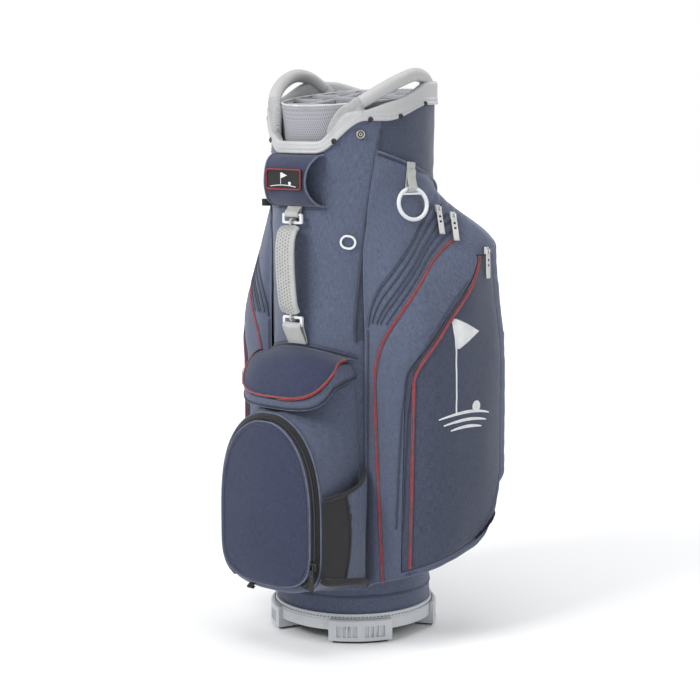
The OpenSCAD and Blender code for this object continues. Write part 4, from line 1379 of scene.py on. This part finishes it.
def valuables_cord():
    build = Build()
    u = np.concatenate([-0.94 * np.ones(30), np.linspace(-0.94, 0.94, 120), 0.94 * np.ones(30)])
    t = np.concatenate([np.linspace(0.3, 1, 30), np.ones(120), np.linspace(1, 0.3, 30)])
    path = lid_point(u, t)
    up = unit(path - point(path[:, 0] * 0.4, -110.0, path[:, 2] - 12))
    path, up = even(path + up * 1.4, up, 2.0)
    build.sweep(path, up, circle(1.2, 12))
    # a strip of the darker seam cloth under the cord: painted shade beside it
    build.sweep(path - up * 1.4, up, band_profile(4.0, 0.8), slot=1)
    double = up[:, 0] > 0.1
    build.sweep(path[double] + [0.3, -0.3, -2.4], up[double], circle(0.7, 10))
    return build.piece(
        "valuables_cord", [red_piping, cloth_painted_seam_shade],
        "valuables_lid", "piping_red", ["valuables_piping"],
    )


def valuables_root():
    """The seam by which the lid hangs: a dark cord and a pale one below it."""
    build = Build()
    u = np.linspace(-1, 1, 90)
    for drop, radius, slot in ((0.0, 1.3, 0), (-2.8, 0.9, 1)):
        path = lid_root(u, 2.6) + [0, 0, 3.4] + point(0 * u, 0, drop)
        up = outward(path)
        build.sweep(path + up * 0.4, up, circle(radius, 10), slot=slot)
    path = lid_root(u, 1.0) + [0, 0, 8.0]
    build.stitches(path, outward(path), slot=2)
    return build.piece("valuables_root", [dark_piping, blue_piping, thread_blue], slot="bag_fabric")

# ------------------------------------------------------------------ bottle sleeve


def sleeve():
    build = Build()
    t, k = np.meshgrid(np.linspace(0, 1, 60), np.linspace(0, 1, 46))
    gather = smooth((t - 0.43 - 0.07 * sind(180 * k)) / 0.06)
    wander = 30 * ripples(point(t * 90, 0 * t, k * 60), 60, 66)
    pleat = np.abs(sind(t * 360 * 7 + wander)) * smooth((k - 0.25) / 0.6) * gather
    body = ripples(sleeve_point(t, k), 45, 67) * 0.7 * sind(180 * t) * sind(180 * k)
    build.shell(sleeve_point(t, k, 3.2 * pleat + body), sleeve_point(t, k, -2.2), inner_slot=2)
    build.paint(gather[:-1, :-1] > 0.5, 1)
    obj = build.piece(
        "sleeve_cloth", [black_mesh, cloth_blue, lining],
        slot="black_mesh", replaces=["bottle_sleeve"],
    )
    return obj


def sleeve_trim():
    build = Build()
    side = [1.0, 0, 0]
    t = np.linspace(0, 1, 60)
    for k, lift, radius in ((1.0, 1.6, 3.6), (0.0, 4.6, 6.2)):
        build.sweep(sleeve_point(t, k + 0 * t, 0.6) + [0, 0, lift], side, circle(radius, 10, 0.62))
    k = np.linspace(0, 1, 50)
    build.sweep(sleeve_point(0.45 + 0.07 * sind(180 * k), k, 1.4), side, band_profile(3.6, 0.9))
    build.stitches(sleeve_point(t, 1 + 0 * t, 1.6) + [0, 0, -2.0], side, slot=1)
    return build.piece(
        "sleeve_trim", [black_web, thread_black],
        slot="black_trim", replaces=["bottle_binding"],
    )

# ------------------------------------------------------------------ badge pouch, grab handle and webbing


def pouch_point(u, t, deep=0.0):
    z = lerp(690, 769, t)
    x = u * (49 - 8 * sind(180 * t))
    crown = np.maximum(sind(180 * t), 0) ** 0.5
    return point(x, lerp(front_y(x, z, 3.5), -166 + 0 * x, crown) + deep, z)


def pouch():
    build = Build()
    u, t = np.meshgrid(np.linspace(-1, 1, 60), np.linspace(0, 1, 48))
    fold = ripples(pouch_point(u, t), 38, 77) * 0.7 * np.maximum(sind(180 * t), 0) ** 0.5
    sag = 1.6 * u**2 * sind(180 * t)
    outer = pouch_point(u, t, fold + sag)
    build.shell(outer, pouch_point(u, t, fold + sag + 2.6), inner_slot=1)
    for side in (-1, 1):
        edge = outer[:, 0 if side < 0 else -1]
        up = unit(point(0.25 * side + 0 * edge[:, 0], -1, 0))
        build.sweep(edge + up * 0.3, up, circle(1.5, 10), slot=2)
        build.stitches(edge + up * 0.5 - [side * 4.0, 0, 0], up, slot=3)
    obj = build.piece(
        "pouch_cloth", [cloth_deep, lining, blue_piping, thread_blue],
        slot="bag_fabric", replaces=["badge_pouch"],
    )
    return obj


def rounded(width, height, radius, count=9):
    """Points once round a rectangle with round corners, counter-clockwise."""
    turn = np.radians(np.linspace(0, 90, count))
    ring = []
    for k, (sx, sz) in enumerate(((1, -1), (1, 1), (-1, 1), (-1, -1))):
        x, z = sx * (width / 2 - radius), sz * (height / 2 - radius)
        for a in turn + math.radians(90 * k - 90):
            ring.append((x + radius * math.cos(a), z + radius * math.sin(a)))
    return np.array(ring)


def badge():
    """A soft badge with a plain motif of a flag, a ball and a horizon."""
    build = Build()
    width, height, corner = 72, 33, 4.5

    def bend(line, lift=0.0):
        x, z = line[:, 0], line[:, 1]
        return point(x, 0.0006 * x**2 + 0.0012 * z**2 - 168.2 - lift, z + 732)

    ring = rounded(width, height, corner)
    edge = ((0.98, -2.6), (1.0, -2.0), (1.0, -0.5), (0.9, 0.0), (0.5, 0.0), (0.0, 0.0))
    build.grid(np.array([bend(ring * grow, lift) for grow, lift in edge]), closed=True)
    for inset, radius, slot in ((1.6, 0.9, 1), (3.6, 0.45, 0)):
        line = rounded(width - 2 * inset, height - 2 * inset, corner - inset * 0.6)
        build.sweep(loop(bend(line, 0.2)), FRONT, circle(radius, 8), slot=slot, caps=False)

    def stroke(points, radius=0.55):
        build.sweep(bend(resample(points, 0.8), 0.25), FRONT, circle(radius, 8, 0.7), slot=2)

    stroke([(-4, -8), (-4, 10)])
    for k in range(9):
        stroke([(-3.6, 9.6 - k * 0.9), (8.5 - abs(k - 4) * 2.4, 9.6 - k * 0.9)], 0.52)
    turn = full_turn(24)
    for size in (2.2, 1.4, 0.6):
        stroke(np.stack([14 + size * np.cos(turn), -6 + size * np.sin(turn)], -1))
    across = np.linspace(-1, 1, 24)
    stroke(np.stack([26 * across, -11.2 + 2.4 * (1 - across**2)], -1), 0.6)
    return build.piece(
        "badge_plate", [badge_black, badge_red, motif_white],
        slot="badge", replaces=["badge_patch"],
    )


GRAB_LINE = [
    (-148.5, 659), (-157.5, 652), (-162.5, 639), (-164.5, 620), (-163.5, 590), (-160.5, 560), (-156.5, 538),
    (-148.5, 524),
]


def grab_strap():
    build = Build()
    t = np.linspace(0, 1, 120)
    line = spline(GRAB_LINE, t)
    path = point(0, line[:, 0], line[:, 1])
    half = 8 + 10.5 * smooth(np.minimum(t - 0.004, 0.996 - t) / 0.05)
    rim, deep = 2.5, 1.9
    right = [(half, -1.2), (half, 1.4), (half - 0.9, rim), (half - 4.2, rim), (half - 5.0, deep)]
    left = [(-x, y) for x, y in reversed(right)]
    corners = [*right, (0, deep + 0.5), *left, (-half + 1.4, -2.4), (half - 1.4, -2.4)]
    up = unit(np.cross(np.gradient(path, axis=0), [1.0, 0, 0])) * -1
    up = np.where(up[:, 1:2] > 0, -up, up)
    build.sweep(path, up, outlines(t, corners))
    turn = full_turn(33)[:-1]
    for z in (664.8, 518.2):
        ring = loop(point(0, -146 + 6.0 * np.cos(turn), z + 6.0 * np.sin(turn)))
        build.sweep(ring, unit(ring - [0, -146, z]), rounded(5.0, 2.6, 1.1, 4), caps=False)
    return build.piece("grab_strap", [strap_grip], "grab_handle", "webbing", ["front_handle"])


def strap(build, path, side, half, thick=1.6):
    """A flat strap along a path, its width along side."""
    path = np.asarray(path, float)
    along = unit(np.gradient(path, axis=0))
    top = unit(np.cross(unit(np.broadcast_to(np.asarray(side, float), path.shape)), along))
    build.sweep(path, top, rounded(2 * half, thick, thick * 0.45, 3))


def front_webbing():
    """The webbing that holds the two rings of the grab handle."""
    build = Build()
    upper = [
        (-139.4, 689.5), (-140.8, 684.5), (-141.6, 679), (-142.8, 675.4), (-145.6, 673.5), (-148.9, 675.0),
        (-150.0, 678.4), (-148.4, 681.8), (-144.8, 684.6), (-142.4, 687.4), (-141.5, 689.6),
    ]
    lower = [
        (-133.4, 477), (-136, 488), (-140.6, 499), (-142.8, 505.2), (-145.6, 509.3), (-148.9, 508.0),
        (-150.4, 504.4), (-148.6, 498.8), (-142.6, 488), (-136.4, 476),
    ]
    for line, half in ((upper, 13.5), (lower, 18.4)):
        p = spline(line, np.linspace(0, 1, 60))
        strap(build, point(0, p[:, 0], p[:, 1]), [1.0, 0, 0], half)
    sewn = spline(lower, np.linspace(0.72, 0.97, 20)) - [1.0, 0]
    lines = [point(x, sewn[:, 0], sewn[:, 1]) for x in (-15.5, 15.5)]
    for y, z in spline(lower, np.array([0.74, 0.80, 0.95])):
        lines.append(point(np.linspace(-15.5, 15.5, 14), y - 1.0, z))
    for line in lines:
        build.stitches(line, [0, -1.0, 0.6], slot=1)
    replaces = ["upper_handle_anchor", "lower_handle_strap"]
    return build.piece("front_webbing", [pale_web, thread_pale], slot="webbing", replaces=replaces)


def towel_strap():
    build = Build()
    side = pocket_point(0.355, 737) - pocket_point(0.315, 737)
    side[2] = 0
    line = [
        (757, 2.6), (744, 3.4), (730, 3.2), (720, 2.9), (714.4, 4.6), (712.2, 7.5),
        (713.6, 10.8), (718, 12.3), (724, 10.2), (734, 6.4), (746, 5.6),
    ]
    line = [pocket_point(0.335, *p) for p in line]
    strap(build, spline(line, np.linspace(0, 1, 70)), side, 8.5, 1.5)
    out = unit(np.cross(unit(side), [0, 0, 1.0]))
    for middle in spline(line, np.array([0.90, 0.98])):
        row = middle + unit(side) * np.linspace(-6.5, 6.5, 8)[:, None] + out * 0.9
        build.stitches(row, out, slot=1)
    return build.piece("towel_strap", [pale_web, thread_pale], slot="webbing", replaces=["towel_webbing"])


def cart_loop():
    build = Build()
    ring = loop(rounded(50, 12, 4.5, 8))
    path = resample(point(169 + ring[:, 0], 142.5 + ring[:, 1], 454), 2.0)
    along = unit(np.gradient(path, axis=0))
    build.sweep(path, np.cross([0, 0, 1.0], along), rounded(56, 2.1, 0.9, 3), caps=False)
    for z in (430, 478):
        build.stitches(point(np.linspace(148, 190, 20), 148.7, z), [0, 1.0, 0], slot=1)
    return build.piece(
        "right_cart_webbing", [black_web, thread_black], slot="black_trim", replaces=["right_cart_loop"])


def spine_out(u, fullness):
    """How far the spine pad stands off the tube."""
    return 2.5 + 6.4 * np.maximum(sind(180 * u), 0) ** 0.4 * fullness


def spine_pad():
    """The pad down the back, sewn across in channels, in the darker cloth as painted shade."""
    build = Build()
    rows, cols = ((141, 36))
    u, t = np.meshgrid(np.linspace(0, 1, cols), np.linspace(0, 1, rows))
    angle, z = lerp(*SPINE_ANGLES, u), lerp(*SPINE_HEIGHTS, t)
    channel = np.abs((t * 10) % 1 - 0.5) * 2
    gap = 1 - np.exp(-(1 - channel) * 35 / 6)
    calm = clamp01(np.minimum(u, 1 - u) * 9) ** 0.5
    build.shell(tube_point(angle, z, spine_out(u, 0.55 + 0.35 * gap)), tube_point(angle, z, 0.6))
    obj = build.piece("spine_pad", [cloth_in_painted_shade], slot="bag_fabric", replaces=["spine_panel"])
    inflate(obj, 5.0, rows, cols, np.nonzero((gap * calm).ravel() < 0.3)[0])
    return obj


def spine_seams():
    build = Build()
    u = np.linspace(0.03, 0.97, 50)
    for k in range(1, 10):
        path = tube_point(lerp(*SPINE_ANGLES, u), lerp(*SPINE_HEIGHTS, k / 10) + 0 * u, spine_out(u, 0.56))
        build.stitches(path, outward(path), slot=1)
    z = np.linspace(*SPINE_HEIGHTS, 200)
    for angle in SPINE_ANGLES:
        path = tube_point(angle + 0 * z, z, 1.4)
        build.sweep(path, outward(path), circle(1.7, 10))
    return build.piece("spine_seams", [blue_piping, thread_blue], slot="bag_fabric")


def zip_tag(name, spot, size, body, replaces, materials):
    """A moulded pull: forked head with a raised ring, two square windows and a plain tail."""
    top, tip, side = spot
    width, long, gap = size
    z = unit(top - tip)
    x = unit(side - np.dot(side, z) * z)
    y = np.cross(x, z)
    build = Build()

    def block(a, h0, h1, w, thick, slot=0):
        path = top + x * a * width - z * long * np.linspace(h0, h1, 6)[:, None] + y * gap
        build.sweep(path, y, rounded(w * width, thick, thick * 0.3, 3), slot=slot)

    for a in (-0.35, 0.35):
        block(a, -0.05, 1.04, 0.28, 2.3)
    for h0, h1 in ((0.13, 0.31), (0.40, 0.51), (0.60, 1.04)):
        block(0, h0, h1, 0.5, 2.2)
    block(0, 0.3, 0.62, 0.5, 1.0, 1)
    turn = full_turn(25)[:, None]
    ring = top - z * long * 0.22 + y * (gap + 1.1)
    ring = ring + 0.2 * width * (np.cos(turn) * x + np.sin(turn) * z)
    build.sweep(ring, y, circle(0.45, 8), caps=False)
    return build.piece(name, materials, body, "pull_plastic", replaces)


PULL_SPOTS = {"upper": (0.525, 684, 0.475), "middle": (0.572, 673, 0.515), "outer": (0.61, 619, 0.605)}


def apparel_tags():
    for key, (s, z, tip) in PULL_SPOTS.items():
        side = pocket_point(s + 0.02, z) - pocket_point(s - 0.02, z)
        spot = pocket_point(s, z, 5.6), pocket_point(tip, z - 44, 5.6), side
        pull = f"right_{key}_pull"
        tag = zip_tag(f"right_{key}_tag", spot, (9.4, 42, 4.7), pull, [pull], [pull_plastic, black_plastic])
        mirrored(tag, f"left_{key}_tag", f"left_{key}_pull", [f"left_{key}_pull"])


def snap():
    """A press stud: a bright rim round a dark dish with a small socket, the dark being painted shade in the
    metal stud's hollow.
    """
    build = Build()
    centre = tube_point(46.8, 800, 1.0)
    out = outward(centre)
    side = np.cross(out, [0, 0, 1.0])
    turn = full_turn(41)[:, None]
    # the dish and socket rings are black: painted shade in the stud's hollow
    rings = (5.6, 0.9, 1.0, 0), (3.4, 1.9, 0.2, 1), (2.2, 0.7, 1.6, 0), (0.8, 0.9, 0.8, 1)
    for radius, thick, lift, slot in rings:
        ring = centre + out * lift + radius * (np.cos(turn) * side + [0, 0, 1] * np.sin(turn))
        build.sweep(ring, out, circle(thick, 10), slot=slot, caps=False)
    return build.piece("snap_face", [stud_metal, black_plastic], slot="stud_metal", replaces=["snap_stud"])


def loop_tab():
    """A small webbing loop on the left of the tube."""
    build = Build()
    angle = -47.5
    out = np.array([sind(angle), -cosd(angle), 0])
    side = np.array([out[1], -out[0], 0])
    centre = tube_point(angle, 690, 8.2)
    turn = full_turn(41)[:, None]
    path = centre + 7.2 * np.cos(turn) * out + 4.6 * np.sin(turn) * side
    build.sweep(path, unit(path - centre), rounded(11, 1.5, 0.6, 3), caps=False)
    return build.piece("loop_tab", [black_web], slot="black_plastic", replaces=["side_loop"])


def motif(door):
    """A flag, a ball and two fairways sewn on the door in pale thread."""
    corners = [v.co.copy() for v in door.data.vertices]
    tree = BVHTree.FromPolygons(corners, [tuple(f.vertices) for f in door.data.polygons])
    build = Build()

    def thread(points, radius=1.0):
        path = resample(points, 2.0)
        spot, up = on_pocket(0.455 + path[:, 0] / 400, 430 + path[:, 1])
        hits = [tree.ray_cast(Vector((a + b * 20) * MM), Vector(-b)) for a, b in zip(spot, up)]
        spot = np.array([h[0] if h[0] is not None else Vector(a * MM) for h, a in zip(hits, spot)]) / MM
        build.sweep(spot + up * 0.2, up, circle(radius, 8, 0.6))

    thread([(-18, -62), (-18, 88)], 1.5)
    for k in range(27):
        thread([(-16.5, 87 - 1.7 * k), (34 - abs(k - 13) * 3.4, 87 - 1.7 * k)])
    turn = full_turn(40)
    for radius in (8.0, 6.4, 4.8, 3.2, 1.6):
        thread(np.stack([24 + radius * np.cos(turn), -52 + radius * np.sin(turn)], -1))
    across = np.linspace(-1, 1, 40)
    for drop, bow, reach in ((-66, 9, 52), (-76, 7, 44), (-85, 5, 32)):
        for k in range(3):
            thread(np.stack([4 + reach * across, drop + (bow - 1.5 * k) * (1 - across**2)], -1))
    return build.piece("right_motif", [motif_white], "right_apparel_panel", "panel_fabric")


def base_stitches():
    build = Build()
    turn = full_turn(361)
    path = point(129.6 * np.sin(turn), -129.6 * np.cos(turn), 41.0)
    build.stitches(path, outward(path), pitch=6.2, long=2.6, radius=0.6, lift=0.0)
    return build.piece("base_stitches", [thread_blue], slot="bag_fabric")

# ------------------------------------------------------------------ putting it together

tube_cloth()
tube_seams()
divider_cloths()
mouth_rim()
mouth_bars()
cuff()
right_grip = grip()
mirrored(right_grip, "left_grip", replaces=["left_handle_grip"])

pocket = pocket_cloth()
left_pocket = mirrored(pocket, "left_pocket_cloth", replaces=["left_apparel_pocket"])
mirrored(pocket_seams(), "left_pocket_seams")
mirrored(pocket_trims(), "left_pocket_trims")
mirrored(inner_piping(), "left_inner_cord", replaces=["left_inner_piping"])
mirrored(outer_piping(), "left_outer_cord", "left_apparel_panel", ["left_outer_piping"])
door = door_cloth()
left_door = mirrored(door, "left_door_cloth", "left_apparel_panel", ["left_apparel_panel"])
mirrored(motif(door), "left_motif", "left_apparel_panel")
apparel_tags()
ball_top = np.array([98.0, -210.6, 150.0])
ball_spot = (ball_top, ball_top - [0, 0, 1.0], np.array([1.0, 0, 0]))
zip_tag("ball_tag", ball_spot, (8.6, 37, 5.8), "ball_pull", ["ball_pull"], [black_plastic, dark_plastic])
snap()
loop_tab()

ball_gusset()
ball_zip()
ball_door()
ball_cord()
ball_tab()
valuables_wall()
valuables_lid()
valuables_cord()
valuables_root()
sleeve()
sleeve_trim()
pouch()
badge()
grab_strap()
front_webbing()
towel_strap()
mirrored(cart_loop(), "left_cart_webbing", replaces=["left_cart_loop"])
spine_pad()
spine_seams()
base_stitches()

FINISHES = {
    "base_ring": base_plastic, "base_feet": base_plastic, "base_floor": dark_plastic, "foot_pads": pad_rubber,
    "stay_rods": rod_metal, "cuff_screws": black_plastic, "upper_handle_ring": ring_plastic,
    "lower_handle_ring": ring_plastic, "towel_ring": ring_plastic, "oval_eyelet": ring_plastic,
    "ball_slider": black_plastic,
    "valuables_slider": pull_plastic, "valuables_pull": pull_plastic,
}
for side in ("right", "left"):
    for part in ("zip_sliders", "outer_slider"):
        FINISHES[f"{side}_{part}"] = pull_plastic
for name, material in FINISHES.items():
    materials = frame["nodes"][name].data.materials
    materials.clear()
    materials.append(material)

# ------------------------------------------------------------------ floor, light and camera


def stage():
    """A wide round floor that glows as painted light from 1 m out, more towards its edge, so that it meets a
    white surrounding.
    """
    build = Build()
    turn = np.radians(np.arange(64) * 5.625)
    radius = np.array([12000, 7000, 4500, 3000, 2200, 1600, 1100, 700, 350, 20.0])[:, None]
    build.grid(np.stack([radius * np.sin(turn), -radius * np.cos(turn), 0 * radius * turn], -1), closed=True)
    build.cap(range(9 * 64, 10 * 64))
    m = Nodes("floor_painted_glow", (0.9, 0.9, 0.9), 0.9, Specular_IOR_Level=0.1)
    away = m.node("VectorMath", m.place(), operation="LENGTH").outputs["Value"]
    # painted light: emission rising from 1 m to 3.2 m out, up to strength 0.8
    m.put(m.shader, "Emission Color", (1, 1, 1, 1))
    m.put(m.shader, "Emission Strength", m.mul(m.node("MapRange", away, 1.0, 3.2, 0.0, 1.0).outputs[0], 0.8))
    tone = m.ramp(m.noise(m.place(), 3.0), (0.87, 0.87, 0.87), (0.9, 0.9, 0.9))
    obj = build.object("floor")
    obj.data.materials.append(m.finish(tone, 0.9))


def lamp(name, place, aim, size, power):
    data = bpy.data.lights.new(name, "AREA")
    data.shape = "RECTANGLE"
    data.size, data.size_y = size
    data.energy = power
    obj = bpy.data.objects.new(name, data)
    SCENE.collection.objects.link(obj)
    obj.location = place
    obj.rotation_euler = (Vector(aim) - Vector(place)).to_track_quat("-Z", "Y").to_euler()


def light_and_camera():
    heading = math.radians(40)
    toward = Vector((math.sin(heading), -math.cos(heading), 0))
    right = Vector((math.cos(heading), math.sin(heading), 0))
    up = Vector((0, 0, 1))
    aim = (0, 0, 0.45)
    lamp("key", toward * 1.5 - right * 2.0 + up * 2.3, aim, (1.4, 1.4), 70)
    lamp("fill", toward * 2.0 + right * 2.2 + up * 1.4, aim, (1.8, 1.8), 16)
    lamp("top", toward * 0.1 + up * 3.0, (0, 0, 0.5), (2.0, 2.0), 34)
    lamp("rim", right * 1.6 - toward * 1.6 + up * 1.9, aim, (1.0, 1.6), 22)
    world = bpy.data.worlds.new("studio")
    world.use_nodes = True
    tree = world.node_tree
    soft, seen = tree.nodes["Background"], tree.nodes.new("ShaderNodeBackground")
    for node, color, strength in ((soft, (0.97, 0.98, 1.0, 1), 0.52), (seen, (1, 1, 1, 1), 1.0)):
        node.inputs["Color"].default_value = color
        node.inputs["Strength"].default_value = strength
    mix, path = tree.nodes.new("ShaderNodeMixShader"), tree.nodes.new("ShaderNodeLightPath")
    tree.links.new(path.outputs["Is Camera Ray"], mix.inputs[0])
    tree.links.new(soft.outputs[0], mix.inputs[1])
    tree.links.new(seen.outputs[0], mix.inputs[2])
    tree.links.new(mix.outputs[0], tree.nodes["World Output"].inputs[0])
    SCENE.world = world
    data = bpy.data.cameras.new("camera")
    data.lens = 89.76
    data.sensor_width = 36
    camera = bpy.data.objects.new("camera", data)
    SCENE.collection.objects.link(camera)
    camera.location = toward * 2.8 + up * 0.856
    target = -0.0058 * right + up * 0.4502
    camera.rotation_euler = (target - camera.location).to_track_quat("-Z", "Y").to_euler()
    SCENE.camera = camera


stage()
light_and_camera()
SCENE.view_settings.view_transform = "Standard"
